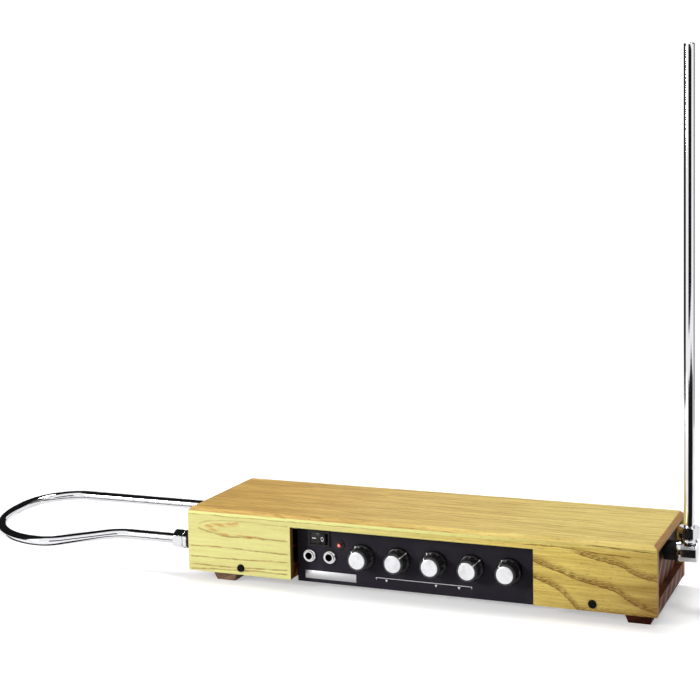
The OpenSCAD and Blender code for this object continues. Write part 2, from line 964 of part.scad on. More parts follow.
module pitch_nut() {
    color("#c8c8cc")
        translate([rod_x, 0, nut_low])
            compression_nut(nut_thread_l);
}

// Forged elbow: an eight-sided body, a threaded neck up and a threaded tail in
module pitch_elbow() {
    c = block_c;
    neck_r = 7.6;
    w = block_w / 2;
    color("#c8c8cc")
        difference() {
            union() {
                translate([block_x0, 0, pitch_z])
                    rotate([90, 0, 90])
                        linear_extrude(block_x1 - block_x0)
                            polygon([[-w, -w + c], [-w + c, -w], [w - c, -w], [w, -w + c],
                                [w, w - c], [w - c, w], [-w + c, w], [-w, w - c]]);
                translate([rod_x, 0, pitch_z + w])
                    cylinder(r1 = neck_r, r2 = thread_r, h = nut_low - nut_gap - pitch_z - w);
                translate([rod_x, 0, pitch_z]) cylinder(r = thread_r, h = male_top - pitch_z);
                rod_x_dir([block_x0 - flange_len, 0, pitch_z], 2 * flange_r, flange_len + bite);
                rod_x_dir([end_in - tail_in, 0, pitch_z], thread_d,
                    block_x0 + bite - end_in + tail_in);
            }
            translate([rod_x, 0, socket_floor])
                cylinder(d = tube_d + 2 * run, h = male_top);
        }
}

// ---------- volume antenna ----------

// Places a shape in the plane of the loop: x is world x, y runs to the back leg
module in_loop_plane() {
    translate([0, leg_y, leg_z])
        rotate([loop_tilt, 0, 0]) children();
}

s_sin = 0.6;                           // a 3-4-5 slope between the two bends
s_cos = 0.8;
s_angle = asin(s_sin);
loop_bulge = (1 - s_cos) * (s_out_r + s_in_r) + s_sin * s_straight;
far_x = -x_end - loop_reach;
far_cx = far_x + far_r;
far_cy = -loop_bulge + far_r;
back_cx = far_x + back_r;
back_cy = leg_gap - back_r;
s_x1 = far_cx;
s_x0 = s_x1 + (s_out_r + s_in_r) * s_sin + s_straight * s_cos;
slope_x = s_x1 + s_in_r * s_sin;
slope_y = -loop_bulge + s_in_r * (1 - s_cos);

// The bent tube as one run of straights and bends, of any diameter
module loop_path(d, extra) {
    straight([s_x0, 0], 0, leg_end + extra - s_x0, d);
    bend(s_x0, -s_out_r, s_out_r, 90, s_angle, d);
    straight([slope_x, slope_y], s_angle, s_straight, d);
    bend(s_x1, -loop_bulge + s_in_r, s_in_r, -90, s_angle, d);
    bend(far_cx, far_cy, far_r, 180, 90, d);
    straight([far_x, far_cy], 90, back_cy - far_cy, d);
    bend(back_cx, back_cy, back_r, 90, 90, d);
    straight([back_cx, leg_gap], 0, back_leg_end + extra - back_cx, d);
}

// A straight stretch in the plane, from a point in a direction
module straight(from, direction, l, d) {
    translate([from[0], from[1], 0])
        rotate([0, 0, direction])
            rotate([0, 90, 0]) cylinder(d = d, h = l);
}

// A bend about a centre, from one angle on, turning to the left
module bend(cx, cy, r, from, turn, d) {
    translate([cx, cy, 0])
        rotate([0, 0, from])
            rotate_extrude(angle = turn, $fn = 96)
                translate([r, 0]) circle(d = d, $fn = 48);
}

module volume_loop() {
    color("#c8c8cc")
        in_loop_plane()
            difference() {
                loop_path(tube_d, 0);
                loop_path(tube_d - 2 * tube_wall, 1);
            }
}

module volume_nut() {
    color("#c8c8cc")
        translate([vol_nut_x, leg_y, leg_z])
            rotate([0, -90, 0]) compression_nut(nut_thread_l);
}

// Straight fitting: hexagon in the middle, threads on both sides
module volume_fitting() {
    color("#c8c8cc")
        translate([0, leg_y, leg_z])
            difference() {
                union() {
                    translate([vol_hex_x, 0, 0])
                        rotate([0, -90, 0]) hex_bar(nut_af, vol_hex_l, 0.7);
                    rod_x_dir([vol_nut_x - male_l, 0, 0], thread_d,
                        -end_in + tail_in - vol_nut_x + male_l);
                }
                rod_x_dir([vol_nut_x - nut_l, 0, 0], tube_d + 2 * run,
                    leg_end + seat_gap - vol_nut_x + nut_l);
            }
}

module fitting_spacers() {
    bore = thread_d + 2 * hole_gap;
    outer = nut_af + 1.6;
    color("#141414") {
        translate([0, leg_y, leg_z])
            difference() {
                rod_x_dir([vol_hex_x, 0, 0], outer, spacer_l);
                rod_x_dir([vol_hex_x - cut_on, 0, 0], bore, spacer_l + 2 * cut_on);
            }
        right_l = block_x0 - flange_len - end_out;
        translate([end_out, 0, pitch_z])
            difference() {
                rod_x_dir([0, 0, 0], outer, right_l);
                rod_x_dir([-cut_on, 0, 0], bore, right_l + 2 * cut_on);
            }
    }
}

module lock_nut() {
    difference() {
        rotate([0, 0, 30]) hex_bar(lock_af, lock_t, 0.8);
        translate([0, 0, -cut_on])
            cylinder(d = thread_d + 2 * run, h = lock_t + 2 * cut_on);
    }
}

module lock_nuts() {
    color("#c4b070") {
        translate([-end_in, leg_y, leg_z]) rotate([0, 90, 0]) lock_nut();
        translate([end_in - lock_t, 0, pitch_z]) rotate([0, 90, 0]) lock_nut();
    }
}

module loop_socket() {
    color("#141414")
        translate([-end_out, back_leg_y, back_leg_z])
            difference() {
                union() {
                    rod_x_dir([-socket_flange_t, 0, 0], socket_flange_d, socket_flange_t);
                    rod_x_dir([0, 0, 0], socket_d, end_t + socket_past);
                }
                rod_x_dir([-socket_flange_t - cut_on, 0, 0], tube_d + 2 * run,
                    end_t + socket_past + socket_flange_t + 2 * cut_on);
            }
}

// A quarter bend of the wire in the plane of x and y, from +X to +Y
module quarter(r) {
    translate([0, r, 0])
        rotate([0, 0, -90])
            rotate_extrude(angle = 90)
                translate([r, 0]) circle(d = lead_d, $fn = 24);
}

lead_d = 1.8;
lead_in = 4;                           // landing, in from the board's edge

// Wires from the inner end of each fitting to the circuit board
module antenna_leads() {
    pcb_right = pcb_x + pcb_w / 2;
    pcb_left = pcb_x - pcb_w / 2;
    down_r = 6;
    side_r = 8;
    drop_r = 2;
    run_x = end_in - tail_in - (pcb_right - lead_in) - down_r;
    color("#c02828") {
        translate([end_in - tail_in, 0, pitch_z])
            rotate([0, 0, 180])
                rotate([-90, 0, 0]) {
                    rod_x_dir([0, 0, 0], lead_d, run_x);
                    translate([run_x, 0, 0]) quarter(down_r);
                    rod_y([run_x + down_r, down_r, 0], lead_d, pitch_z - board_top - down_r);
                }
        side_x = pcb_left + lead_in - side_r + end_in - tail_in;
        side_y = pcb_y - pcb_d / 2 + lead_in - leg_y - side_r - drop_r;
        translate([-end_in + tail_in, leg_y, leg_z]) {
            rod_x_dir([0, 0, 0], lead_d, side_x);
            translate([side_x, 0, 0]) quarter(side_r);
            rod_y([side_x + side_r, side_r, 0], lead_d, side_y);
            translate([side_x + side_r, side_r + side_y, 0])
                rotate([0, 0, 90])
                    rotate([-90, 0, 0]) quarter(drop_r);
            translate([side_x + side_r, side_r + side_y + drop_r, board_top - leg_z])
                cylinder(d = lead_d, h = leg_z - board_top - drop_r);
        }
    }
}

// ---------- assembly ----------

cover_top();
cover_front();
cover_back();
glue_blocks();
base_board();
end_panel_left();
end_panel_right();
foot(foot_left, -1);  // foot_front_left
foot(foot_right, -1);  // foot_front_right
foot(foot_left, 1);  // foot_rear_left
foot(foot_right, 1);  // foot_rear_right
cover_screws();
wood_screws();
control_panel();
stand_flange();
switch_housing();
switch_rocker();
led_bezel();
power_led();
line_jack();
phones_jack();
cv_jacks();
jack_nuts();
dc_inlet();
pot(0);  // headphone_pot
pot(1);  // volume_pot
pot(2);  // pitch_pot
pot(3);  // waveform_pot
pot(4);  // brightness_pot
shaft(0);  // headphone_shaft
shaft(1);  // volume_shaft
shaft(2);  // pitch_shaft
shaft(3);  // waveform_shaft
shaft(4);  // brightness_shaft
knob(0);  // headphone_knob
knob(1);  // volume_knob
knob(2);  // pitch_knob
knob(3);  // waveform_knob
knob(4);  // brightness_knob
cap(0);  // headphone_cap
cap(1);  // volume_cap
cap(2);  // pitch_cap
cap(3);  // waveform_cap
cap(4);  // brightness_cap
pot_nuts();
main_board();
board_standoffs();
tuning_coils();
capacitors();
chips();
pitch_rod();
pitch_nut();
pitch_elbow();
volume_loop();
volume_nut();
volume_fitting();
fitting_spacers();
lock_nuts();
loop_socket();
antenna_leads();
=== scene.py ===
import math

import bmesh
import bpy
from mathutils import Matrix, Vector


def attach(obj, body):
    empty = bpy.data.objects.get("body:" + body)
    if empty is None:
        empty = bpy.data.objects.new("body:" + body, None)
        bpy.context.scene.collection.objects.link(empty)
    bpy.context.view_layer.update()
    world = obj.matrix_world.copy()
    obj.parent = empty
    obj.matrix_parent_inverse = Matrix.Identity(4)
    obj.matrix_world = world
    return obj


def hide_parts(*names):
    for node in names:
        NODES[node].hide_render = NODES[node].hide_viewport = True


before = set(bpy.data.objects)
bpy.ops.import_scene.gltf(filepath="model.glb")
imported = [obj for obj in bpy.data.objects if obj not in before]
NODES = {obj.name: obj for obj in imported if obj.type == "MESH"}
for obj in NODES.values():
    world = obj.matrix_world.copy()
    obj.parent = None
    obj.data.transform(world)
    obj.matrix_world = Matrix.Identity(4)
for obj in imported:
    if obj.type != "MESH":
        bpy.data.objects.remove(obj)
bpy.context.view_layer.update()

# Pieces are drawn in millimetres. Shader graphs, the stage, the lamps and the camera are in metres.
MM = 0.001
FULL_TURN = 2 * math.pi


# ---------- node graphs ----------

PATH_SPAN = 100.0           # the height, in mm, that a float curve's full scale stands for


class Graph:
    """A node tree built by short calls; every input may be a number, a colour or a socket."""

    def __init__(self, tree):
        self.tree = tree

    def put(self, socket, value):
        if isinstance(value, bpy.types.NodeSocket):
            self.tree.links.new(value, socket)
        elif isinstance(value, (tuple, list)) and socket.type == "RGBA" and len(value) == 3:
            socket.default_value = (*value, 1.0)
        else:
            socket.default_value = value

    def node(self, kind, inputs=(), out=0, **settings):
        made = self.tree.nodes.new(kind)
        for key, value in settings.items():
            setattr(made, key, value)
        for key, value in dict(inputs).items():
            self.put(made.inputs[key], value)
        return made.outputs[out]

    def math(self, operation, a, b=0.0):
        return self.node("ShaderNodeMath", {0: a, 1: b}, operation=operation)

    def add(self, a, b):
        return self.math("ADD", a, b)

    def sub(self, a, b):
        return self.math("SUBTRACT", a, b)

    def mul(self, a, b):
        return self.math("MULTIPLY", a, b)

    def max(self, a, b):
        return self.math("MAXIMUM", a, b)

    def size(self, a):
        return self.math("ABSOLUTE", a)

    def away(self, a, b):
        """The length of the flat vector (a, b)."""
        return self.math("SQRT", self.add(self.mul(a, a), self.mul(b, b)))

    def step(self, value, low, high, to_low=0.0, to_high=1.0):
        return self.node("ShaderNodeMapRange", {0: value, 1: low, 2: high, 3: to_low, 4: to_high},
                         interpolation_type="SMOOTHSTEP")

    def vec(self, x, y, z):
        return self.node("ShaderNodeCombineXYZ", {0: x, 1: y, 2: z})

    def split(self, vector):
        parts = self.tree.nodes.new("ShaderNodeSeparateXYZ")
        self.put(parts.inputs[0], vector)
        return parts.outputs[0], parts.outputs[1], parts.outputs[2]

    def place(self):
        """The point in the object's own space, which is the shared frame at rest."""
        return self.node("ShaderNodeTexCoord", out="Object")

    def normal(self):
        return self.node("ShaderNodeNewGeometry", out="Normal")

    def noise(self, vector, scale=1.0, detail=2.0, rough=0.5):
        return self.node("ShaderNodeTexNoise", {"Vector": vector, "Scale": scale,
                                               "Detail": detail, "Roughness": rough})

    def mix(self, share, a, b):
        made = self.tree.nodes.new("ShaderNodeMix")
        made.data_type = "RGBA"
        self.put(made.inputs[0], share)
        self.put(made.inputs[6], a)
        self.put(made.inputs[7], b)
        return made.outputs[2]

    def blend(self, share, a, b):
        made = self.tree.nodes.new("ShaderNodeMix")
        made.data_type = "FLOAT"
        self.put(made.inputs[0], share)
        self.put(made.inputs[2], a)
        self.put(made.inputs[3], b)
        return made.outputs[0]

    def path(self, along, points):
        """The height, in metres, of a smooth line through (mm, mm) points at a place along it."""
        first, last = points[0][0], points[-1][0]
        made = self.tree.nodes.new("ShaderNodeFloatCurve")
        curve = made.mapping.curves[0]
        curve.points[0].location = (0.0, points[0][1] / PATH_SPAN)
        curve.points[1].location = (1.0, points[-1][1] / PATH_SPAN)
        for place, height in points[1:-1]:
            curve.points.new((place - first) / (last - first), height / PATH_SPAN)
        made.mapping.update()
        self.put(made.inputs["Value"], self.node("ShaderNodeMapRange", {
            0: along, 1: first * MM, 2: last * MM, 3: 0.0, 4: 1.0}))
        return self.mul(made.outputs[0], PATH_SPAN * MM)

    def bump(self, height, distance, strength):
        return self.node("ShaderNodeBump", {"Height": height, "Distance": distance,
                                           "Strength": strength})


def material(name, build):
    made = bpy.data.materials.new(name)
    made.use_nodes = True
    graph = Graph(made.node_tree)
    shader = made.node_tree.nodes["Principled BSDF"]
    for key, value in build(graph).items():
        graph.put(shader.inputs[key], value)
    return made


def lighter(colour, times, plus=0.0):
    return tuple(min(1.0, c * times + plus) for c in colour)


BEVEL_SAMPLES = 6
WORN_FROM, WORN_TO = 0.02, 0.25


def worn_edges(g, radius):
    """How far a point lies on an edge: the smoothed normal leaves the true one there."""
    soft = g.node("ShaderNodeBevel", {"Radius": radius}, samples=BEVEL_SAMPLES)
    same = g.node("ShaderNodeVectorMath", {0: soft, 1: g.normal()}, out="Value",
                  operation="DOT_PRODUCT")
    return g.step(g.sub(1.0, same), WORN_FROM, WORN_TO)


# ---------- the cover's ash ----------

# The ground's light and deep tones, at the left and at the right
FRONT_LEFT, FRONT_RIGHT = (0.78, 0.75, 0.30), (0.84, 0.65, 0.170)
FRONT_LEFT_DEEP, FRONT_RIGHT_DEEP = (0.68, 0.60, 0.22), (0.44, 0.27, 0.042)
TOP_LEFT, TOP_RIGHT = (0.75, 0.50, 0.155), (0.82, 0.66, 0.21)
TOP_LEFT_DEEP, TOP_RIGHT_DEEP = (0.36, 0.175, 0.042), (0.54, 0.37, 0.095)
# The next colour is a painted highlight: the pale lime of the front chamfer where light catches it
CHAMFER_HIGHLIGHT = (0.86, 0.86, 0.33)
RING_PALE, RING_DARK = (0.36, 0.20, 0.050), (0.165, 0.066, 0.010)
FLAME, PORE = (0.62, 0.33, 0.09), (0.13, 0.055, 0.014)
# The second colour on the next line is painted shade for the walls of the panel's recess
CORNER_BROWN, RECESS_PAINTED_SHADE = (0.24, 0.125, 0.030), (0.045, 0.018, 0.008)
WORN_FRONT, WORN_TOP = (0.78, 0.70, 0.26), (0.70, 0.52, 0.22)
END_LIGHT, END_DARK = (0.58, 0.30, 0.085), (0.28, 0.13, 0.030)

# Noise layers: cycles per metre along and across the grain, and the slice that is taken
WAVE, FINE = (30.0, 60.0, 1.0), (160.0, 500.0, 2.0)
FADING, BLOTCH = (90.0, 300.0, 3.0), (110.0, 420.0, 5.0)
STREAK, SPECK = (150.0, 1300.0, 4.0), (210.0, 1500.0, 6.0)
FIBRE, CLOUD = (26.0, 620.0, 7.0), (9.0, 90.0, 9.0)
BEND = (9.0, 22.0, 3.0)
END_DOTS, END_YEARS = 1500.0, 260.0

# Drawn lines: half width and soft edge, in metres
LEVEL_LINE, FLAME_LINE, FINE_LINE = (0.0003, 0.0007), (0.0004, 0.0009), (0.0002, 0.0007)
BAND_LINE, JOINT_LINE = (0.0002, 0.0006), (0.0001, 0.0005)
LINE_FADE, LINE_START, BAND_START = 0.004, 0.006, 0.012

# Grain lines on the front as (x, z) in mm: level ones on the left, then the flame's outline
LEVEL = [[(-222, 23.6), (-183, 24.9), (-151, 24.1), (-116, 23.7)],
         [(-222, 13.6), (-175, 14.3), (-136, 15.6), (-116, 16.2)],
         [(-222, 6.0), (-175, 6.7), (-117, 8.9)],
         [(-222, 1.2), (-175, 4.1), (-117, 5.1)]]
FLAME_LOW = [(-213, 43.0), (-209, 41.1), (-194, 37.8), (-180, 35.4), (-162, 36.4), (-116, 35.8)]
FLAME_UP = [(-213, 45.0), (-202, 48.6), (-187, 50.4), (-162, 51.0), (-146, 50.4), (-116, 50.0)]
# The flame's orange hearts, each with its half width in metres
FLAME_HEARTS = [([(-206, 44.6), (-190, 45.8), (-166, 48.6)], 0.0022),
                ([(-204, 43.6), (-191, 39.6), (-180, 36.9), (-164, 36.6), (-140, 36.2)], 0.0014)]
# Porous bands on the right: the sharp lower edge, and the height of the speckled part above it
BANDS = [([(106, 42.0), (117, 38.8), (129, 34.4), (143, 30.2), (155, 26.0), (172, 22.7),
           (188, 18.4), (199, 11.7), (207, 7.7), (222, 4.0)], 4.6),
         ([(106, 27.0), (117, 24.3), (128, 20.4), (137, 16.3), (143, 11.9), (149, 5.6),
           (156, -2.0)], 4.4),
         ([(146, 51.0), (153, 49.6), (166, 46.2), (180, 43.6), (192, 41.2), (201, 36.3),
           (212, 32.5), (222, 31.2)], 4.2)]
UPPER = [[(105, 53.2), (133, 53.6), (153, 52.6), (172, 50.7), (192, 50.0), (202, 49.4)],
         [(128, 62.4), (133, 61.6), (153, 59.3), (172, 57.5), (192, 56.3), (222, 55.0)]]
# In metres: the cover's right end, where its boards meet, the recess's end, the top's heart line
COVER_END, JOINT_Z, RECESS_X, HEART_Y = 0.222, 0.0546, 0.130, 0.022


def layer(g, a, b, scales, detail=3.0, rough=0.5):
    """Noise drawn out along the grain: a runs with it and b across it."""
    along, across, cut = scales
    return g.noise(g.vec(g.mul(a, along), g.mul(b, across), cut), detail=detail, rough=rough)


def thin(g, distance, half, soft):
    """A line: one where the distance, in metres, is small, and nothing beyond its width."""
    return g.step(g.size(distance), half + soft, half)


def most(g, masks):
    out = masks[0]
    for mask in masks[1:]:
        out = g.max(out, mask)
    return out


def drawn(g, x, z, points, half, soft):
    """A grain line along a path. It fades at its ends, except where the board ends first."""
    line = thin(g, g.sub(z, g.path(x, points)), half, soft)
    start, end = points[0][0] * MM, points[-1][0] * MM
    if end < COVER_END:
        ends = g.mul(g.step(x, start, start + LINE_FADE), g.step(x, end, end - LINE_FADE))
    else:
        ends = g.step(x, start, start + LINE_START)
    return g.mul(line, ends)


def porous_band(g, x, shifted, points, height, speck, fading):
    """A dark line with speckles that thin out above it."""
    above = g.sub(shifted, g.path(x, points))
    line = g.mul(thin(g, above, *BAND_LINE), g.step(fading, 0.28, 0.50, 0.45, 1.0))
    body = g.mul(g.step(above, -0.0003, 0.0004),
                 g.step(above, height * 1.9 * MM, height * 0.3 * MM))
    begin = points[0][0] * MM
    return g.mul(g.max(line, g.mul(body, g.add(0.30, g.mul(speck, 0.70)))),
                 g.step(x, begin, begin + BAND_START))


def front_grain(g, x, z, speck):
    """Gives a pale, an orange and a dark mask for the front of the cover."""
    wave = g.sub(layer(g, x, z, WAVE, detail=2.0), 0.5)
    fine = g.sub(layer(g, x, z, FINE, detail=2.0), 0.5)
    shaken = g.add(z, g.add(g.mul(wave, 0.0016), g.mul(fine, 0.0014)))
    fading = layer(g, x, z, FADING)
    uneven = g.step(fading, 0.30, 0.62, 0.35, 1.0)

    level = most(g, [drawn(g, x, shaken, points, *LEVEL_LINE) for points in LEVEL])
    outline = g.max(g.mul(drawn(g, x, shaken, FLAME_LOW, *FLAME_LINE), 0.9),
                    g.mul(drawn(g, x, shaken, FLAME_UP, *FINE_LINE), 0.55))
    pale = g.mul(g.max(level, outline), uneven)

    blotch = g.step(layer(g, x, z, BLOTCH, detail=4.0), 0.36, 0.60)
    hearts = [g.mul(drawn(g, x, shaken, points, half * 0.4, half), blotch)
              for points, half in FLAME_HEARTS]
    orange = g.mul(most(g, hearts), 0.85)

    shifted = g.add(g.add(z, g.mul(fine, 0.0022)), g.mul(wave, 0.0012))
    bands = [porous_band(g, x, shifted, points, height, speck, fading)
             for points, height in BANDS]
    upper = [g.mul(drawn(g, x, shaken, points, *FINE_LINE), uneven) for points in UPPER]
    joint = g.mul(thin(g, g.sub(shaken, JOINT_Z), *JOINT_LINE), g.step(x, 0.02, -0.10, 0.1, 0.7))
    return pale, orange, most(g, bands + upper + [g.mul(joint, uneven)])


def top_grain(g, x, y, fibre):
    """Long, nearly straight rings that bow towards the left end, each of its own strength."""
    bend = g.sub(layer(g, x, y, BEND), 0.5)
    bow = g.mul(g.size(g.sub(y, HEART_Y)), g.step(x, 0.0, -0.20, 1.0, 1.35))
    field = g.mul(g.add(g.add(bow, g.mul(x, -0.05)), g.mul(bend, 0.020)), 150.0)
    share = g.math("FRACT", field)
    ring = g.mul(g.step(share, 0.0, 0.06), g.step(share, 0.70, 0.06))
    number = g.node("ShaderNodeTexWhiteNoise", {"W": g.math("FLOOR", field)},
                    noise_dimensions="1D")
    return g.mul(g.mul(ring, g.step(number, 0.25, 0.8, 0.2, 1.0)),
                 g.step(fibre, 0.40, 0.56, 0.20, 1.0))


def ash_ground(g, x, along, upright, fibre, cloud, top):
    """The wood's own colour, before a ring or a pore is drawn on it."""
    light = g.mix(along, FRONT_LEFT, FRONT_RIGHT)
    deep = g.mix(along, FRONT_LEFT_DEEP, FRONT_RIGHT_DEEP)
    if top:
        over = g.step(x, -0.20, 0.16)
        light = g.mix(upright, light, g.mix(over, TOP_LEFT, TOP_RIGHT))
        deep = g.mix(upright, deep, g.mix(over, TOP_LEFT_DEEP, TOP_RIGHT_DEEP))
    share = g.add(g.mul(g.step(fibre, 0.36, 0.66), 0.42), g.mul(g.step(cloud, 0.38, 0.66), 0.36))
    return g.mix(share, light, deep)


def ash_end(g, x, y, z):
    """End grain, and painted shade on the walls of the panel's recess."""
    dots = g.noise(g.vec(0.0, g.mul(y, END_DOTS), g.mul(z, END_DOTS)), detail=3.0)
    year = g.math("FRACT", g.mul(g.add(z, g.mul(y, 0.12)), END_YEARS))
    grain = g.mix(g.mul(g.step(dots, 0.38, 0.62), g.add(0.45, g.mul(year, 0.55))),
                  END_LIGHT, END_DARK)
    # Painted shade: the recess walls darken to a near-black brown
    recess_shade = g.step(g.size(x), RECESS_X, RECESS_X - 0.005)
    return g.mix(g.mul(recess_shade, 0.75), grain, RECESS_PAINTED_SHADE)


def ash(top):
    """Ring-porous ash under clear lacquer, on the top board or on an upright one."""
    def build(g):
        x, y, z = g.split(g.place())
        nx, ny, _ = g.split(g.normal())
        upright = g.step(g.size(ny), 0.92, 0.80) if top else 0.0
        across = g.blend(upright, z, y)
        streak = layer(g, x, across, STREAK, rough=0.6)
        speck = g.step(layer(g, x, across, SPECK), 0.44, 0.56)
        fibre = layer(g, x, across, FIBRE, detail=4.0, rough=0.6)
        cloud = layer(g, x, across, CLOUD)
        pale, orange, dark = front_grain(g, x, z, speck)
        if top:
            flat = g.mul(upright, g.step(g.size(nx), 0.62, 0.45))
            pale = g.blend(flat, pale, g.mul(top_grain(g, x, y, fibre), 0.95))
            orange = g.blend(flat, orange, 0.0)
            dark = g.blend(flat, dark, 0.0)

        along = g.step(x, -0.16, 0.13)
        colour = ash_ground(g, x, along, upright, fibre, cloud, top)
        if top:
            # Painted highlight: the chamfer faces turn pale lime, most strongly towards the left
            lit_chamfer = g.mul(g.step(g.size(ny), 0.45, 0.62), g.sub(1.0, upright))
            colour = g.mix(g.mul(lit_chamfer, g.step(x, 0.17, -0.02, 0.20, 0.80)), colour, CHAMFER_HIGHLIGHT)
        corner = g.add(g.mul(g.sub(COVER_END, x), 0.55), g.size(g.sub(z, 0.006)))
        brown = g.mul(g.step(corner, 0.080, 0.000), g.step(cloud, 0.30, 0.60, 0.5, 1.0))
        colour = g.mix(g.mul(g.mul(brown, g.sub(1.0, upright)), 0.80), colour, CORNER_BROWN)

        colour = g.mix(orange, colour, FLAME)
        colour = g.mix(g.mul(pale, 0.80), colour, RING_PALE)
        colour = g.mix(g.mul(dark, 0.86), colour, RING_DARK)
        open_share = g.blend(upright, g.blend(along, 0.18, 0.70), 0.62)
        loose = g.mul(g.step(streak, 0.58, 0.72), open_share)
        colour = g.mix(loose, colour, PORE)
        colour = g.mix(g.step(g.size(nx), 0.45, 0.62), colour, ash_end(g, x, y, z))
        worn = g.mul(worn_edges(g, 0.0006), 0.20)
        colour = g.mix(worn, colour, g.mix(upright, WORN_FRONT, WORN_TOP))

        rough = g.add(0.46, g.add(g.mul(g.sub(fibre, 0.5), 0.2), g.mul(loose, 0.2)))
        height = g.add(g.mul(g.max(loose, dark), -1.0), g.mul(fibre, 0.25))
        return {"Base Color": colour, "Roughness": rough, "Specular IOR Level": 0.15,
                "Normal": g.bump(height, 0.00012, 0.7)}
    return build


# ---------- the dark woods ----------

END_WOOD = {"light": (0.46, 0.140, 0.058), "deep": (0.040, 0.009, 0.003), "slope": -0.8,
            "pitch": 0.020, "end": True}
# END_SHADE is painted shade: nearly black on the end panels above a level line between SHADE_FROM
# and SHADE_TO, in metres
END_SHADE, SHADE_FROM, SHADE_TO = (0.006, 0.004, 0.003), 0.032, 0.042
BASE_WOOD = {"light": (0.27, 0.11, 0.050), "deep": (0.090, 0.028, 0.014), "slope": 0.03}


def dark_wood(light, deep, slope, pitch=0.0045, end=False):
    """Stained wood with bright grain, a line each pitch; slope turns the lines. An end panel's
    grain runs over its upright face, and its upper part is painted nearly black as shade."""
    def build(g):
        x, y, z = g.split(g.place())
        run, across = (y, z) if end else (x, y)
        turned_across = g.add(across, g.mul(run, slope))
        along = g.sub(run, g.mul(across, slope))
        drift = g.noise(g.vec(g.mul(along, 12.0), g.mul(turned_across, 70.0), g.mul(x, 20.0)),
                        detail=3.0)
        moved = g.add(turned_across, g.mul(g.sub(drift, 0.5), 0.006))
        share = g.math("FRACT", g.math("DIVIDE", moved, pitch))
        line = g.mul(g.step(share, 0.0, 0.15), g.step(share, 0.50, 0.20))
        fibre = g.noise(g.vec(g.mul(along, 60.0), g.mul(moved, 2200.0), g.mul(x, 400.0)),
                        detail=4.0)
        lined = 0.78 if end else 0.55
        tone = g.add(g.mul(line, lined), g.mul(g.step(fibre, 0.45, 0.7), 1.0 - lined))
        colour = g.mix(tone, deep, light)
        if end:
            # Painted shade: the end panel's upper part goes nearly black
            colour = g.mix(g.step(z, SHADE_FROM, SHADE_TO), colour, END_SHADE)
        colour = g.mix(g.mul(worn_edges(g, 0.0008), 0.35), colour, lighter(light, 1.9))
        rough = g.add(0.42, g.mul(g.sub(fibre, 0.5), 0.3))
        return {"Base Color": colour, "Roughness": rough, "Specular IOR Level": 0.05,
                "Normal": g.bump(g.add(fibre, line), 0.0001, 0.6)}
    return build


def base_look(g):
    """The base board: plain on its faces, with the end panels' figure on its two ends."""
    flat = dark_wood(**BASE_WOOD)(g)
    end = dark_wood(**END_WOOD)(g)
    ends = g.step(g.size(g.split(g.normal())[0]), 0.4, 0.6)
    return {**flat, "Base Color": g.mix(ends, flat["Base Color"], end["Base Color"])}


# ---------- metals, paints, plastics ----------

RUBBED_R = 0.0004           # how wide an edge is rubbed, in metres
LED_X, LED_Z = -71.7, 33.1


def metal(colour, rough, spread=0.05, scratch=0.0, grain=(900.0, 900.0, 900.0), wear=0.0):
    """Bare or plated metal: hairline scratches along the smallest grain, smudges, bright edges."""
    def build(g):
        x, y, z = g.split(g.place())
        hair = g.noise(g.vec(g.mul(x, grain[0]), g.mul(y, grain[1]), g.mul(z, grain[2])),
                       detail=3.0, rough=0.6)
        smudge = g.noise(g.place(), scale=38.0, detail=3.0)
        tint = g.mix(g.mul(g.step(smudge, 0.4, 0.75), 0.10), colour, lighter(colour, 0.72))
        if wear:
            tint = g.mix(g.mul(worn_edges(g, RUBBED_R), wear), tint, lighter(colour, 1.4))
        level = g.add(g.mul(g.sub(hair, 0.5), spread), g.mul(smudge, spread * 0.6))
        out = {"Base Color": tint, "Metallic": 1.0, "Roughness": g.add(rough, level)}
        if scratch:
            out["Normal"] = g.bump(hair, 0.00002, scratch)
        return out
    return build


def paint(colour, rough, grit=1800.0, depth=0.00004, wear=0.3, coat=0.0, shine=0.5):
    """Paint or moulded plastic: a fine orange-peel or grit, dust in patches, rubbed edges."""
    def build(g):
        peel = g.noise(g.place(), scale=grit, detail=3.0, rough=0.55)
        cloud = g.noise(g.place(), scale=45.0, detail=4.0)
        dusty = g.mul(g.step(cloud, 0.45, 0.8), 0.22)
        tint = g.mix(dusty, colour, lighter(colour, 1.6, 0.03))
        tint = g.mix(g.mul(worn_edges(g, RUBBED_R), wear), tint, lighter(colour, 2.0, 0.07))
        level = g.add(g.mul(g.sub(peel, 0.5), 0.22), g.mul(g.sub(cloud, 0.5), 0.16))
        return {"Base Color": tint, "Roughness": g.add(rough, level), "Coat Weight": coat,
                "Specular IOR Level": shine, "Coat Roughness": 0.12,
                "Normal": g.bump(peel, depth, 0.5)}
    return build


def spun(colour):
    """Turned metal: rings about the knob's own axis come from the mesh, the sheen from here."""
    def build(g):
        hair = g.noise(g.place(), scale=2600.0, detail=2.0)
        cloud = g.noise(g.place(), scale=160.0, detail=3.0)
        tint = g.mix(g.step(cloud, 0.4, 0.75), colour, lighter(colour, 0.86))
        return {"Base Color": tint, "Metallic": 0.85, "Anisotropic": 0.55,
                "Roughness": g.add(0.30, g.mul(g.sub(hair, 0.5), 0.15)),
                "Normal": g.bump(hair, 0.00001, 0.4)}
    return build


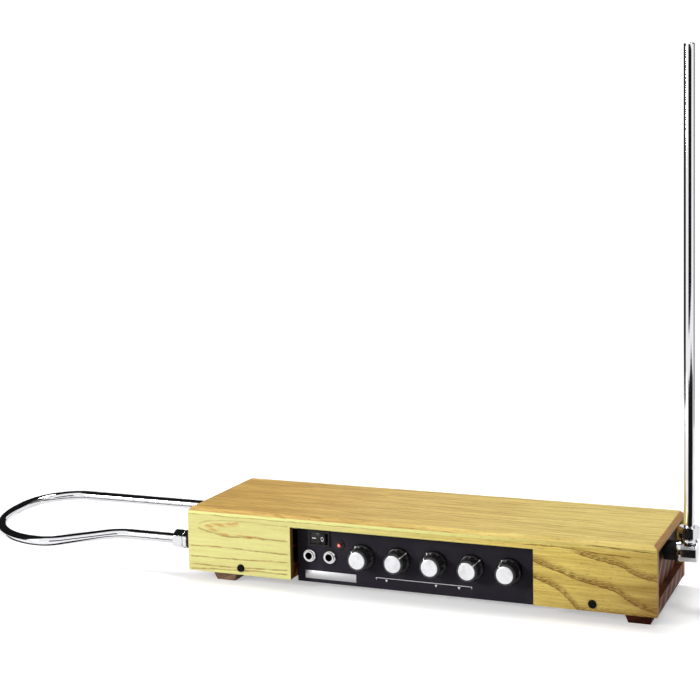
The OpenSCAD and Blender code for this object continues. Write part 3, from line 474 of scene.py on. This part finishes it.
def lamp(colour, glow):
    """Tinted epoxy, brighter in the middle where the chip sits."""
    def build(g):
        x, _, z = g.split(g.place())
        core = g.step(g.away(g.sub(x, LED_X * MM), g.sub(z, LED_Z * MM)), 0.0018, 0.0003)
        swirl = g.noise(g.place(), scale=900.0, detail=2.0)
        return {"Base Color": g.mix(core, colour, (1.0, 0.35, 0.25)),
                "Roughness": g.add(0.14, g.mul(swirl, 0.08)), "Coat Weight": 0.5,
                "Emission Color": (1.0, 0.08, 0.05), "Emission Strength": g.mul(core, glow),
                "Normal": g.bump(swirl, 0.00002, 0.3)}
    return build


PADS_X, PADS_Y, CELLS = 393.7, 131.2, 190.0     # per metre
MASK_DARK, MASK_LIGHT, TIN = (0.012, 0.12, 0.045), (0.025, 0.20, 0.075), (0.62, 0.60, 0.55)


def board(g):
    """Circuit board: solder mask over traces, with bare pads in rows."""
    x, y, _ = g.split(g.place())
    cell = g.node("ShaderNodeTexVoronoi", {"Vector": g.vec(x, y, 0.0), "Scale": CELLS},
                  out="Distance", distance="CHEBYCHEV")
    track = g.step(cell, 0.30, 0.34)
    pad_x = g.math("FRACT", g.mul(x, PADS_X))
    pad_y = g.math("FRACT", g.mul(y, PADS_Y))
    near = g.max(g.size(g.sub(pad_x, 0.5)), g.mul(g.size(g.sub(pad_y, 0.5)), 3.0))
    pad = g.step(near, 0.34, 0.28)
    tint = g.mix(pad, g.mix(track, MASK_DARK, MASK_LIGHT), TIN)
    return {"Base Color": tint, "Metallic": g.mul(pad, 0.9),
            "Roughness": g.add(0.30, g.mul(pad, 0.1)), "Coat Weight": 0.4,
            "Normal": g.bump(g.add(track, pad), 0.00004, 0.6)}


WIRE_TURNS = 22000.0        # radians per metre of height


def wound(colour):
    """Coil of fine wire: close turns about an upright axis."""
    def build(g):
        turn = g.math("SINE", g.mul(g.split(g.place())[2], WIRE_TURNS))
        uneven = g.noise(g.place(), scale=260.0, detail=3.0)
        tint = g.mix(g.step(uneven, 0.35, 0.7), colour, lighter(colour, 0.55))
        return {"Base Color": tint, "Metallic": 0.8, "Roughness": g.add(0.28, g.mul(uneven, 0.2)),
                "Normal": g.bump(turn, 0.00008, 0.8)}
    return build


LOOKS = {
    "ash_top": ash(True),
    "ash_front": ash(False),
    "end_wood": dark_wood(**END_WOOD),
    # One foot wood in a shaded and a lit copy: painted shade for the right feet, painted light for
    # the left feet
    "foot_wood_painted_shade": dark_wood((0.085, 0.022, 0.010), (0.035, 0.008, 0.004), 0.12),
    "foot_wood_painted_light": dark_wood((0.32, 0.21, 0.155), (0.20, 0.115, 0.080), 0.12),
    "base_wood": base_look,
    "strip_wood": dark_wood((0.72, 0.56, 0.34), (0.52, 0.37, 0.20), 0.02),
    "panel": paint((0.015, 0.012, 0.020), 0.60, grit=2600.0, wear=0.15, shine=0.15),
    "black_steel": metal((0.012, 0.011, 0.012), 0.36, wear=0.3),
    "zinc": metal((0.62, 0.63, 0.65), 0.32, 0.12, scratch=0.3, wear=0.3),
    "chrome": metal((0.86, 0.86, 0.88), 0.045, 0.03),
    "chrome_nut": metal((0.80, 0.80, 0.82), 0.10, 0.06, wear=0.2),
    "nickel": metal((0.70, 0.69, 0.66), 0.24, 0.10, scratch=0.2),
    "pot_case": metal((0.55, 0.56, 0.58), 0.36, 0.14, scratch=0.4, wear=0.3),
    "brass": metal((0.72, 0.52, 0.22), 0.26, 0.12, scratch=0.3, wear=0.3),
    "black_gloss": paint((0.006, 0.006, 0.007), 0.26, grit=900.0, wear=0.15, shine=0.3),
    "black_matt": paint((0.010, 0.010, 0.011), 0.55, shine=0.25),
    "rubber": paint((0.010, 0.010, 0.010), 0.72, grit=1400.0, depth=0.00008, shine=0.2),
    "knob_grey": paint((0.028, 0.028, 0.031), 0.40, grit=1500.0, wear=0.6, shine=0.45),
    "cap": spun((0.86, 0.86, 0.88)),
    "plate": metal((0.62, 0.62, 0.64), 0.34, 0.12, scratch=0.6, grain=(60.0, 900.0, 3000.0)),
    "print": paint((0.86, 0.86, 0.88), 0.50, wear=0.0),
    "led": lamp((0.30, 0.008, 0.008), 0.4),
    "pcb": board,
    "nylon": paint((0.80, 0.77, 0.68), 0.45, wear=0.1),
    "copper": wound((0.72, 0.30, 0.12)),
    "can": paint((0.05, 0.09, 0.26), 0.25, grit=500.0, coat=0.5),
    "chip": paint((0.022, 0.022, 0.024), 0.50, grit=3000.0, depth=0.00006),
    "lead": paint((0.46, 0.030, 0.026), 0.40, grit=1200.0),
}
M = {name: material(name, build) for name, build in LOOKS.items()}


# ---------- CAD nodes ----------

CAD_LOOK = {
    "cover_top": "ash_top", "cover_front": "ash_front", "cover_back": "ash_front",
    "glue_blocks": "strip_wood", "base_board": "base_wood",
    "end_panel_left": "end_wood", "end_panel_right": "end_wood",
    # Left feet take the lit copy of the foot wood, right feet the shaded copy: painted light and
    # shade
    "foot_front_left": "foot_wood_painted_light", "foot_front_right": "foot_wood_painted_shade",
    "foot_rear_left": "foot_wood_painted_light", "foot_rear_right": "foot_wood_painted_shade",
    "cover_screws": "black_steel", "wood_screws": "zinc", "control_panel": "panel",
    "stand_flange": "zinc", "switch_housing": "black_gloss", "led_bezel": "black_gloss",
    "line_jack": "black_matt", "phones_jack": "black_matt", "cv_jacks": "black_matt",
    "jack_nuts": "chrome_nut", "dc_inlet": "black_matt", "pot_nuts": "nickel",
    "main_board": "pcb", "board_standoffs": "nylon", "tuning_coils": "copper",
    "capacitors": "can", "chips": "chip", "pitch_nut": "chrome_nut", "pitch_elbow": "chrome_nut",
    "volume_nut": "chrome_nut", "volume_fitting": "chrome_nut", "fitting_spacers": "rubber",
    "lock_nuts": "brass", "loop_socket": "black_matt", "antenna_leads": "lead",
}
CONTROLS = ["headphone", "volume", "pitch", "waveform", "brightness"]
for control in CONTROLS:
    CAD_LOOK[control + "_pot"] = "pot_case"
    CAD_LOOK[control + "_shaft"] = "nickel"

# How far each node's sharp edges are broken
ROUNDED = {
    "cover_top": 0.5, "cover_front": 0.4, "cover_back": 0.4, "end_panel_left": 0.4,
    "end_panel_right": 0.4, "foot_front_left": 0.4, "foot_front_right": 0.4,
    "foot_rear_left": 0.4, "foot_rear_right": 0.4, "base_board": 0.4, "control_panel": 0.25,
    "switch_housing": 0.3, "pitch_elbow": 0.35, "pitch_nut": 0.2, "volume_nut": 0.2,
    "volume_fitting": 0.2, "jack_nuts": 0.12, "stand_flange": 0.2, "pot_nuts": 0.1,
    "lock_nuts": 0.15, "chips": 0.15, "fitting_spacers": 0.25,
}
SAME_POINT = 2e-6           # metres
SHARP_ANGLE = math.radians(25.0)


def round_edges(node, width):
    """Breaks the sharp edges, after the mesh's split corners are joined again."""
    weld = node.modifiers.new("join", "WELD")
    weld.merge_threshold = SAME_POINT
    bevel = node.modifiers.new("break", "BEVEL")
    bevel.width = width * MM
    bevel.segments = 2
    bevel.limit_method = "ANGLE"
    bevel.angle_limit = SHARP_ANGLE
    bevel.use_clamp_overlap = True


for name, look in CAD_LOOK.items():
    NODES[name].data.materials.clear()
    NODES[name].data.materials.append(M[look])
for name, width in ROUNDED.items():
    round_edges(NODES[name], width)


# ---------- mesh tools ----------

JOIN_DIST = 1e-5
AXIS_R = 0.02               # radius at which a lathe shape is closed on its axis


def piece(name, bm, look, body, place=None, replaces=(), sharp=32.0):
    """Turns a bmesh, in millimetres, into a piece that rides on a body."""
    bmesh.ops.remove_doubles(bm, verts=bm.verts, dist=JOIN_DIST)
    bmesh.ops.recalc_face_normals(bm, faces=bm.faces)
    mesh = bpy.data.meshes.new(name)
    bmesh.ops.scale(bm, vec=(MM, MM, MM), verts=bm.verts)
    if place is not None:
        bmesh.ops.transform(bm, matrix=place, verts=bm.verts)
    bm.to_mesh(mesh)
    bm.free()
    mesh.materials.append(M[look])
    for face in mesh.polygons:
        face.use_smooth = True
    mesh.set_sharp_from_angle(angle=math.radians(sharp))
    made = bpy.data.objects.new(name, mesh)
    bpy.context.scene.collection.objects.link(made)
    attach(made, body)
    if replaces:
        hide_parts(*replaces)
    return made


def loft(loops, capped=True):
    """Skins rows of points, each row a closed loop, in a new bmesh."""
    bm = bmesh.new()
    rows = [[bm.verts.new(p) for p in loop] for loop in loops]
    for a, b in zip(rows, rows[1:]):
        n = len(a)
        for i in range(n):
            j = (i + 1) % n
            bm.faces.new((a[i], a[j], b[j], b[i]))
    if capped:
        bm.faces.new(rows[0])
        bm.faces.new(list(reversed(rows[-1])))
    return bm


def turned(profile, sides, radius_at=None, capped=True):
    """A lathe shape about Z from (radius, height) points; radius_at may cut into it."""
    loops = []
    for r, h in profile:
        loop = []
        for i in range(sides):
            a = FULL_TURN * i / sides
            rr = radius_at(a, r, h) if radius_at else r
            loop.append((rr * math.sin(a), rr * math.cos(a), h))
        loops.append(loop)
    return loft(loops, capped)


def straight(start, end, n):
    """The n points after start on the line to end."""
    return [tuple(a + (b - a) * t / n for a, b in zip(start, end)) for t in range(1, n + 1)]


PANEL_Y = -52.0             # the control panel's front face


def outward(x, z):
    """Local z leaves the panel, local y is up, local x is right; millimetres become metres."""
    return Matrix(((1, 0, 0, x * MM), (0, 0, -1, PANEL_Y * MM), (0, 1, 0, z * MM), (0, 0, 0, 1)))


def downward(x, y, z):
    """Local z points down, for what hangs below a floor."""
    return Matrix(((1, 0, 0, x * MM), (0, -1, 0, y * MM), (0, 0, -1, z * MM), (0, 0, 0, 1)))


# ---------- knobs ----------

KNOB_X = [-49.3 + 34.8 * i for i in range(len(CONTROLS))]
KNOB_Z = 24.0
POINTERS = [-35, 48, -35, 48, -35]      # degrees clockwise from upright, as photographed
BARREL_R, BARREL_TOP_R = 10.2, 9.7
BARREL_LOW, BARREL_HIGH, BARREL_STEPS = 3.52, 13.8, 8
FLUTES, FLUTE_R, FLUTE_AT, FLUTE_LOW, FLUTE_REACH = 10, 2.5, 11.9, 3.5, 1.6
BARREL_SIDES, SKIRT_SIDES, CAP_SIDES = 300, 128, 96
# Profiles as (radius, height above the panel)
BARREL_FOOT = [(9.7, 3.15), (10.2, 3.2), (10.2, 3.5), (10.19, BARREL_LOW)]
BARREL_HEAD = [(9.45, 14.15), (9.0, 14.55), (8.5, 14.92), (8.25, 15.0), (7.85, 15.0),
               (7.8, 14.95), (7.8, 14.4), (AXIS_R, 14.4)]
SKIRT = [(6.6, 0.8), (11.6, 0.8), (11.9, 0.9), (12.0, 1.15), (12.0, 1.65), (11.85, 1.95),
         (11.2, 2.85), (11.0, 2.98), (10.6, 3.12), (10.0, 3.2), (6.6, 3.2)]
POINTER = [(8.05, 15.03), (8.27, 15.04), (8.53, 14.96), (9.04, 14.59), (9.5, 14.18),
           (9.76, 13.83), (10.26, 3.56), (10.62, 3.19), (11.03, 3.04), (11.24, 2.9),
           (11.91, 1.97)]
POINTER_HALF, POINTER_THICK = 0.42, 0.12
CAP_R, CAP_GROOVES, GROOVE_Z, RIDGE_Z, DOMED = 7.25, 22, 15.475, 15.495, 0.01
CAP_RIM = [(7.7, 14.4), (7.7, 15.2), (7.62, 15.38), (7.45, 15.47), (CAP_R, 15.5)]


def fluted(angle, r, h):
    """Radius of the barrel: scallops cut by a round cutter that stands just outside it."""
    if h < FLUTE_LOW or r < BARREL_TOP_R - FLUTE_REACH:
        return r
    off = (angle / FULL_TURN * FLUTES) % 1.0 - 0.5
    phi = off * FULL_TURN / FLUTES
    inside = FLUTE_R ** 2 - (FLUTE_AT * math.sin(phi)) ** 2
    if inside <= 0:
        return r
    return min(r, FLUTE_AT * math.cos(phi) - math.sqrt(inside))


def cap_profile():
    """The cap's rim, then a groove and a ridge for each turning mark, in to the axis."""
    rows = list(CAP_RIM)
    for k in range(1, CAP_GROOVES + 1):
        r = CAP_R * (1 - k / CAP_GROOVES)
        rows.append((max(r + CAP_R / CAP_GROOVES * 0.5, 0.05), GROOVE_Z + DOMED * k / CAP_GROOVES))
        rows.append((max(r, AXIS_R), RIDGE_Z))
    return rows


def knob_parts(control, x, degrees):
    place = outward(x, KNOB_Z) @ Matrix.Rotation(-math.radians(degrees), 4, "Z")
    body = control + "_control"
    sides = straight((BARREL_R, BARREL_LOW), (BARREL_TOP_R, BARREL_HIGH), BARREL_STEPS)
    piece(control + "_knob_barrel", turned(BARREL_FOOT + sides + BARREL_HEAD, BARREL_SIDES, fluted),
          "knob_grey", body, place, [control + "_knob"], 40.0)
    piece(control + "_knob_skirt", turned(SKIRT, SKIRT_SIDES), "black_gloss", body,
          place, sharp=40.0)
    a, t = POINTER_HALF, POINTER_THICK
    line = loft([[(-a, r, h), (a, r, h), (a, r - t, h - t), (-a, r - t, h - t)]
                 for r, h in POINTER])
    piece(control + "_knob_pointer", line, "print", body, place)
    piece(control + "_cap_disc", turned(cap_profile(), CAP_SIDES), "cap", body,
          place, [control + "_cap"], 30.0)


for control, x, degrees in zip(CONTROLS, KNOB_X, POINTERS):
    knob_parts(control, x, degrees)


# ---------- sockets ----------

JACKS = [(-102.3, 20.9), (-82.0, 20.9)]
CV_X, CV_Y, WELL_Z = [-26.3, 21.4, 43.1], -36.0, -4.4
# The plated rim of a bushing, as (radius, height), and round to its first point again
RIM = [(4.66, 1.9), (4.66, 3.1), (4.5, 3.28), (3.5, 3.28), (3.28, 3.05), (3.28, 1.9), (4.66, 1.9)]
RIM_SIDES = 64

for k, (x, z) in enumerate(JACKS):
    piece(f"jack_rim_{k}", turned(RIM, RIM_SIDES, capped=False), "chrome_nut", "cabinet",
          outward(x, z))
for k, x in enumerate(CV_X):
    piece(f"cv_rim_{k}", turned(RIM, RIM_SIDES, capped=False), "chrome_nut", "cabinet",
          downward(x, CV_Y, WELL_Z))


# ---------- rocker and its two marks ----------

ROCKER_AT = (Matrix.Translation((-0.0923, -0.0496, 0.0375))
             @ Matrix.Rotation(math.radians(-10), 4, "Z"))
ROCKER_HALF, ROCKER_FRONT, ROCKER_DISH, DISH_POWER = 8.1, -3.4, 1.2, 1.4
ROCKER_HIGH, ROCKER_EDGE, EDGE_STEP, FACE_STEPS = 5.1, 0.35, 0.12, 12
ROCKER_BACK = [(ROCKER_HALF, -0.6), (4.5, 4.2), (-4.5, 4.2), (-ROCKER_HALF, -0.6)]
OFF_X, OFF_IN, OFF_OUT = 4.4, (1.15, 1.45), (1.75, 2.05)
MARK_LIFT, MARK_THICK, MARK_SIDES = 0.05, 0.08, 40
BAR_X, BAR_HALF, BAR_OUT, BAR_IN = (-6.4, -5.6, -4.8, -4.0, -3.2, -2.4), 0.36, 0.09, 0.05


def face_y(x):
    """The rocker's dished face."""
    return ROCKER_FRONT - ROCKER_DISH * abs(x / ROCKER_HALF) ** DISH_POWER


def rocker_shape():
    face = [ROCKER_HALF * (-1 + 2 * k / FACE_STEPS) for k in range(FACE_STEPS + 1)]
    outline = [(x, face_y(x)) for x in face] + ROCKER_BACK
    h = ROCKER_HIGH
    loops = []
    for z, shrink in ((-h, ROCKER_EDGE), (-h + EDGE_STEP, EDGE_STEP), (-h + ROCKER_EDGE, 0.0),
                      (h - ROCKER_EDGE, 0.0), (h - EDGE_STEP, EDGE_STEP), (h, ROCKER_EDGE)):
        loops.append([(x * (1 - shrink / ROCKER_HALF), y + (shrink if y < 0 else -shrink), z)
                      for x, y in outline])
    return loft(loops)


def off_mark():
    """A ring that lies on the rocker's face."""
    around = [FULL_TURN * k / MARK_SIDES for k in range(MARK_SIDES)]
    bm = bmesh.new()
    rows = []
    for a, b in (OFF_OUT, OFF_IN):
        points = [(OFF_X + a * math.sin(t), b * math.cos(t)) for t in around]
        rows.append([bm.verts.new((x, face_y(x) - MARK_LIFT, z)) for x, z in points])
    outer, recess_shade = rows
    for i in range(MARK_SIDES):
        j = (i + 1) % MARK_SIDES
        bm.faces.new((outer[i], outer[j], recess_shade[j], recess_shade[i]))
    return bm


piece("rocker_body", rocker_shape(), "black_gloss", "power_rocker", ROCKER_AT,
      ["switch_rocker"], 30.0)
ring = piece("rocker_mark_off", off_mark(), "print", "power_rocker", ROCKER_AT)
solid = ring.modifiers.new("thick", "SOLIDIFY")
solid.thickness = MARK_THICK * MM
solid.offset = 0.0
bar = [[(x, face_y(x) - BAR_OUT, -BAR_HALF), (x, face_y(x) - BAR_OUT, BAR_HALF),
        (x, face_y(x) + BAR_IN, BAR_HALF), (x, face_y(x) + BAR_IN, -BAR_HALF)] for x in BAR_X]
piece("rocker_mark_on", loft(bar), "print", "power_rocker", ROCKER_AT)


# ---------- power light ----------

DOME_R, DOME_Z, DOME_FLAT, DOME_SIDES = 2.45, 1.75, 0.6, 64
dome = [(AXIS_R, DOME_Z + DOME_R * DOME_FLAT)]
for degrees in range(8, 91, 8):
    t = math.radians(degrees)
    dome.append((DOME_R * math.sin(t), DOME_Z + DOME_R * math.cos(t) * DOME_FLAT))
dome += [(DOME_R, 0.2), (DOME_R, -6.0), (AXIS_R, -6.0)]
piece("led_dome", turned(dome, DOME_SIDES), "led", "cabinet", outward(LED_X, LED_Z),
      ["power_led"], 50.0)


# ---------- print on the panel: a bare plate, a bracket line and three arrows ----------

PRINT_OUT, PRINT_IN, PLATE_OUT, PLATE_EDGE = 0.06, 0.02, 0.35, 0.12
# Boxes as (left, bottom, right, top)
PLATE = (-107.0, -0.8, -56.0, 6.7)
BRACKET = (-36.5, 5.75, 55.2, 6.15)
BRACKET_END_X, BRACKET_END_Z, BRACKET_HALF = (-36.3, 55.0), 4.2, 0.2
ARROW_HALF, ARROW_TOP, ARROW_TIP = 1.3, 4.7, 2.5


def flat_print(name, box, look, thick=PRINT_OUT, broken=0.0):
    """A thin box on the panel's face, with its edges broken where that is asked."""
    x0, z0, x1, z1 = box
    low, high = (x0, PANEL_Y - thick, z0), (x1, PANEL_Y + PRINT_IN, z1)
    bm = bmesh.new()
    verts = bmesh.ops.create_cube(bm, size=1.0)["verts"]
    bmesh.ops.scale(bm, vec=[b - a for a, b in zip(low, high)], verts=verts)
    bmesh.ops.translate(bm, vec=[(a + b) / 2 for a, b in zip(low, high)], verts=verts)
    if broken > 0:
        edges = {e for v in verts for e in v.link_edges}
        bmesh.ops.bevel(bm, geom=list(edges), offset=broken, segments=2, profile=0.5,
                        affect="EDGES")
    piece(name, bm, look, "cabinet")


flat_print("name_plate", PLATE, "plate", PLATE_OUT, PLATE_EDGE)
flat_print("bracket_line", BRACKET, "print")
for k, x in enumerate(BRACKET_END_X):
    flat_print(f"bracket_end_{k}", (x - BRACKET_HALF, BRACKET_END_Z, x + BRACKET_HALF, BRACKET[3]),
               "print")
for k, x in enumerate(CV_X):
    arrow = loft([[(x - ARROW_HALF, y, ARROW_TOP), (x + ARROW_HALF, y, ARROW_TOP),
                   (x, y, ARROW_TIP)] for y in (PANEL_Y - PRINT_OUT, PANEL_Y + PRINT_IN)])
    piece(f"arrow_{k}", arrow, "print", "cabinet")


# ---------- pitch rod ----------

ROD_X, ROD_R, ROD_SIDES, ROD_STEPS = 237.5, 4.7625, 72, 40
ROD_LOW, ROD_HIGH, ROD_BORE = 49.0, 481.0, 3.86
rod_rows = [(ROD_BORE, ROD_LOW), (ROD_R - 0.25, ROD_LOW), (ROD_R, ROD_LOW + 0.3)]
rod_rows += straight((ROD_R, ROD_LOW + 0.3), (ROD_R, ROD_HIGH - 1.4), ROD_STEPS)
rod_rows += [(ROD_R - 0.06, ROD_HIGH - 0.9), (ROD_R - 0.25, ROD_HIGH - 0.5),
             (ROD_R - 0.6, ROD_HIGH - 0.2), (ROD_R - 1.2, ROD_HIGH), (AXIS_R, ROD_HIGH)]
piece("pitch_rod_tube", turned(rod_rows, ROD_SIDES), "chrome", "pitch_antenna",
      Matrix.Translation((ROD_X * MM, 0, 0)), ["pitch_rod"], 50.0)


# ---------- volume loop ----------

LEG_Y, LEG_Z, LEG_GAP, TILT = -47.8, 23.6, 100.1, 4.4
FAR_X, FAR_R, BACK_R, OUT_R, IN_R, SLOPE_L = -458.0, 80.0, 52.0, 46.5, 36.0, 42.5
FRONT_END_X, BACK_END_X = -230.15, -195.05      # where the two legs end
SIN, COS = 0.6, 0.8                             # of the slope's angle
TUBE_SIDES = 48


def loop_path():
    """Points and headings in the plane of the loop, from the front leg round to the back leg."""
    x, y, heading = FRONT_END_X, 0.0, math.pi
    out = [(x, y, heading)]

    def go(length, n):
        nonlocal x, y
        for k in range(1, n + 1):
            out.append((x + math.cos(heading) * length * k / n,
                        y + math.sin(heading) * length * k / n, heading))
        x, y = out[-1][0], out[-1][1]

    def turn(radius, degrees, n):
        nonlocal x, y, heading
        side = 1 if degrees > 0 else -1
        cx = x - math.sin(heading) * radius * side
        cy = y + math.cos(heading) * radius * side
        start = heading
        for k in range(1, n + 1):
            heading = start + math.radians(degrees) * k / n
            out.append((cx + math.sin(heading) * radius * side,
                        cy - math.cos(heading) * radius * side, heading))
        x, y = out[-1][0], out[-1][1]

    bulge = (1 - COS) * (OUT_R + IN_R) + SIN * SLOPE_L
    slope_end = FAR_X + FAR_R + (OUT_R + IN_R) * SIN + SLOPE_L * COS
    angle = math.degrees(math.asin(SIN))
    go(x - slope_end, 10)
    turn(OUT_R, angle, 16)
    go(SLOPE_L, 6)
    turn(IN_R, -angle, 16)
    turn(FAR_R, -90, 36)
    go(LEG_GAP - BACK_R - (FAR_R - bulge), 3)
    turn(BACK_R, -90, 30)
    go(BACK_END_X - x, 24)
    return out


def tube_section(x, y, heading):
    """A circle of the tube's radius, square to the path."""
    side = Vector((-math.sin(heading), math.cos(heading), 0))
    around = [FULL_TURN * k / TUBE_SIDES for k in range(TUBE_SIDES)]
    return [Vector((x, y, 0)) + side * (ROD_R * math.cos(a)) + Vector((0, 0, ROD_R * math.sin(a)))
            for a in around]


piece("volume_loop_tube", loft([tube_section(*point) for point in loop_path()]), "chrome",
      "volume_antenna",
      Matrix.Translation((0, LEG_Y * MM, LEG_Z * MM)) @ Matrix.Rotation(math.radians(TILT), 4, "X"),
      ["volume_loop"], 50.0)


# ---------- lamps and surroundings ----------

# Name, place, aim and size in metres, and watts
LAMPS = [("key", (-1.2, -1.35, 0.62), (0.0, 0.0, 0.03), (0.35, 0.45), 23.0),
         ("top", (-0.05, 0.2, 1.2), (0.0, 0.0, 0.05), (0.5, 0.35), 7.6),
         ("side", (0.62, -0.10, 1.25), (0.22, 0.0, 0.03), (0.25, 0.25), 2.2)]
ROOM_LOW, ROOM_HIGH, WHITE = (0.06, 0.06, 0.065), (0.28, 0.28, 0.28), (1.0, 1.0, 1.0)

for name, at, to, size, power in LAMPS:
    data = bpy.data.lights.new(name, "AREA")
    data.shape = "RECTANGLE"
    data.size, data.size_y = size
    data.energy = power
    made = bpy.data.objects.new(name, data)
    bpy.context.scene.collection.objects.link(made)
    made.location = at
    made.rotation_mode = "QUATERNION"
    made.rotation_quaternion = (Vector(to) - Vector(at)).to_track_quat("-Z", "Y")


def shown_rays(g, mirrored=1.0):
    """One for camera rays, and the mirrored share for glossy and transmission rays."""
    rays = g.tree.nodes.new("ShaderNodeLightPath")
    mirror = g.max(rays.outputs["Is Glossy Ray"], rays.outputs["Is Transmission Ray"])
    return g.max(rays.outputs["Is Camera Ray"], g.mul(mirror, mirrored))


world = bpy.data.worlds.new("studio")
world.use_nodes = True
bpy.context.scene.world = world
sky = Graph(world.node_tree)
up = sky.split(sky.node("ShaderNodeTexCoord", out="Generated"))[2]
room = sky.mix(sky.step(up, -0.6, 0.8), ROOM_LOW, ROOM_HIGH)
background = world.node_tree.nodes["Background"]
sky.put(background.inputs["Color"], sky.mix(shown_rays(sky), room, WHITE))
background.inputs["Strength"].default_value = 1.0


# ---------- stage: floor, and sheets of painted reflection that only the metal sees, in metres ---

FLOOR_Z, FLOOR_R, FLOOR_MID, FLOOR_SIDES = -0.0096, 1.1, (-0.08, 0.0), 72
FLOOR_GREYS = (0.80, 0.80, 0.80), (0.84, 0.84, 0.84)
GLOW_NEAR, GLOW_FAR, GLOW_FROM, GLOW_TO, GLOW_MIRRORED = 0.42, 1.0, 0.45, 0.95, 0.4
# How bright the sheets of painted reflection glow: near black, and grey
REFLECTION_DARK, REFLECTION_GREY = 0.010, 0.16
# Level sheets of painted reflection: height and corners
LEVEL_REFLECTIONS = {
    "reflection_over": (1.25, [(-3.5, -0.35), (3.5, -0.35), (3.5, 4.0), (-3.5, 4.0)]),
    "reflection_low": (-0.0085, [(0.19, -0.085), (0.0, -1.3), (1.6, -1.3), (1.6, -0.085)]),
    "reflection_strip_0": (-0.0085, [(-0.60, -0.0785), (-0.60, -0.1060), (-0.20, -0.1060),
                               (-0.20, -0.0785)]),
    "reflection_strip_1": (-0.0085, [(-0.60, 0.0160), (-0.60, -0.0140), (-0.20, -0.0140),
                               (-0.20, 0.0160)]),
}
# Upright sheets of painted reflection: the two ends of the foot, the top's height, and the grey
REFLECTION_FOOT = -0.009
UPRIGHT_REFLECTIONS = {
    "reflection_left": ((-0.78, -0.46), (-0.78, 1.5), 1.1, REFLECTION_DARK),
    "reflection_front": ((-0.10, -2.0), (2.8, -2.0), 0.9, REFLECTION_DARK),
    "reflection_right": ((1.10, 0.25), (0.70, 0.80), 1.2, REFLECTION_GREY),
}


def floor_look(g):
    """Pale floor: white to the camera, pale to metal, with the object's shadow kept on it."""
    x, y, _ = g.split(g.place())
    away = g.away(g.sub(x, FLOOR_MID[0]), g.sub(y, FLOOR_MID[1]))
    own = g.blend(g.step(away, GLOW_FROM, GLOW_TO), GLOW_NEAR, GLOW_FAR)
    tint = g.mix(g.noise(g.place(), scale=30.0, detail=4.0), *FLOOR_GREYS)
    from_below = g.node("ShaderNodeNewGeometry", out="Backfacing")
    return {"Base Color": tint, "Alpha": g.sub(1.0, from_below), "Roughness": 0.8,
            "Specular IOR Level": 0.0, "Emission Color": WHITE,
            "Emission Strength": g.mul(own, shown_rays(g, GLOW_MIRRORED))}


def painted_reflection_look(grey):
    """Painted reflection: a glowing dark or grey sheet with a felt-like nap, seen in the metal
    only.
    """
    def build(g):
        nap = g.noise(g.place(), scale=60.0, detail=3.0)
        return {"Base Color": (0.0, 0.0, 0.0), "Roughness": 1.0, "Specular IOR Level": 0.0,
                "Emission Color": g.mix(nap, (grey * 0.9,) * 3, (grey * 1.1,) * 3),
                "Emission Strength": 1.0}
    return build


def stage_sheet(name, corners, look):
    mesh = bpy.data.meshes.new(name)
    mesh.from_pydata(corners, [], [tuple(range(len(corners)))])
    mesh.materials.append(material(name, look))
    made = bpy.data.objects.new(name, mesh)
    bpy.context.scene.collection.objects.link(made)
    return made


# Painted reflection: a sheet that only glossy rays see; camera rays, diffuse light and shadows pass
# it by
def painted_reflection(name, corners, grey):
    made = stage_sheet(name, corners, painted_reflection_look(grey))
    made.visible_camera = made.visible_diffuse = made.visible_shadow = False
    made.visible_transmission = made.visible_volume_scatter = False


around = [math.radians(360 / FLOOR_SIDES * k) for k in range(FLOOR_SIDES)]
stage_sheet("floor", [(FLOOR_MID[0] + FLOOR_R * math.cos(a), FLOOR_MID[1] + FLOOR_R * math.sin(a),
                       FLOOR_Z) for a in around], floor_look)
for name, (height, corners) in LEVEL_REFLECTIONS.items():
    painted_reflection(name, [(x, y, height) for x, y in corners], REFLECTION_DARK)
for name, ((x0, y0), (x1, y1), high, grey) in UPRIGHT_REFLECTIONS.items():
    painted_reflection(name, [(x0, y0, REFLECTION_FOOT), (x1, y1, REFLECTION_FOOT), (x1, y1, high), (x0, y0, high)], grey)


# ---------- camera, solved on the photograph ----------

CAMERA_AT = (0.4452, -1.2607, 0.3890)
YAW, PITCH, ROLL = math.radians(22.555), math.radians(4.429), math.radians(-1.027)
FOCAL, PICTURE, SHIFT, SENSOR = 1451.3, 700, -80.0, 36.0       # pixels, and the sensor in mm

forward = Vector((-math.sin(YAW) * math.cos(PITCH), math.cos(YAW) * math.cos(PITCH),
                  -math.sin(PITCH)))
level_right = Vector((math.cos(YAW), math.sin(YAW), 0))
level_up = level_right.cross(forward)
right = level_right * math.cos(ROLL) + level_up * math.sin(ROLL)
above = level_up * math.cos(ROLL) - level_right * math.sin(ROLL)
camera_data = bpy.data.cameras.new("camera")
camera_data.sensor_width = SENSOR
camera_data.lens = FOCAL / PICTURE * SENSOR
camera_data.shift_y = SHIFT / PICTURE
camera_data.clip_start, camera_data.clip_end = 0.05, 20.0
camera = bpy.data.objects.new("camera", camera_data)
bpy.context.scene.collection.objects.link(camera)
camera.matrix_world = Matrix([(right[i], above[i], -forward[i], CAMERA_AT[i]) for i in range(3)]
                             + [(0, 0, 0, 1)])
bpy.context.scene.camera = camera
bpy.context.scene.view_settings.view_transform = "Standard"
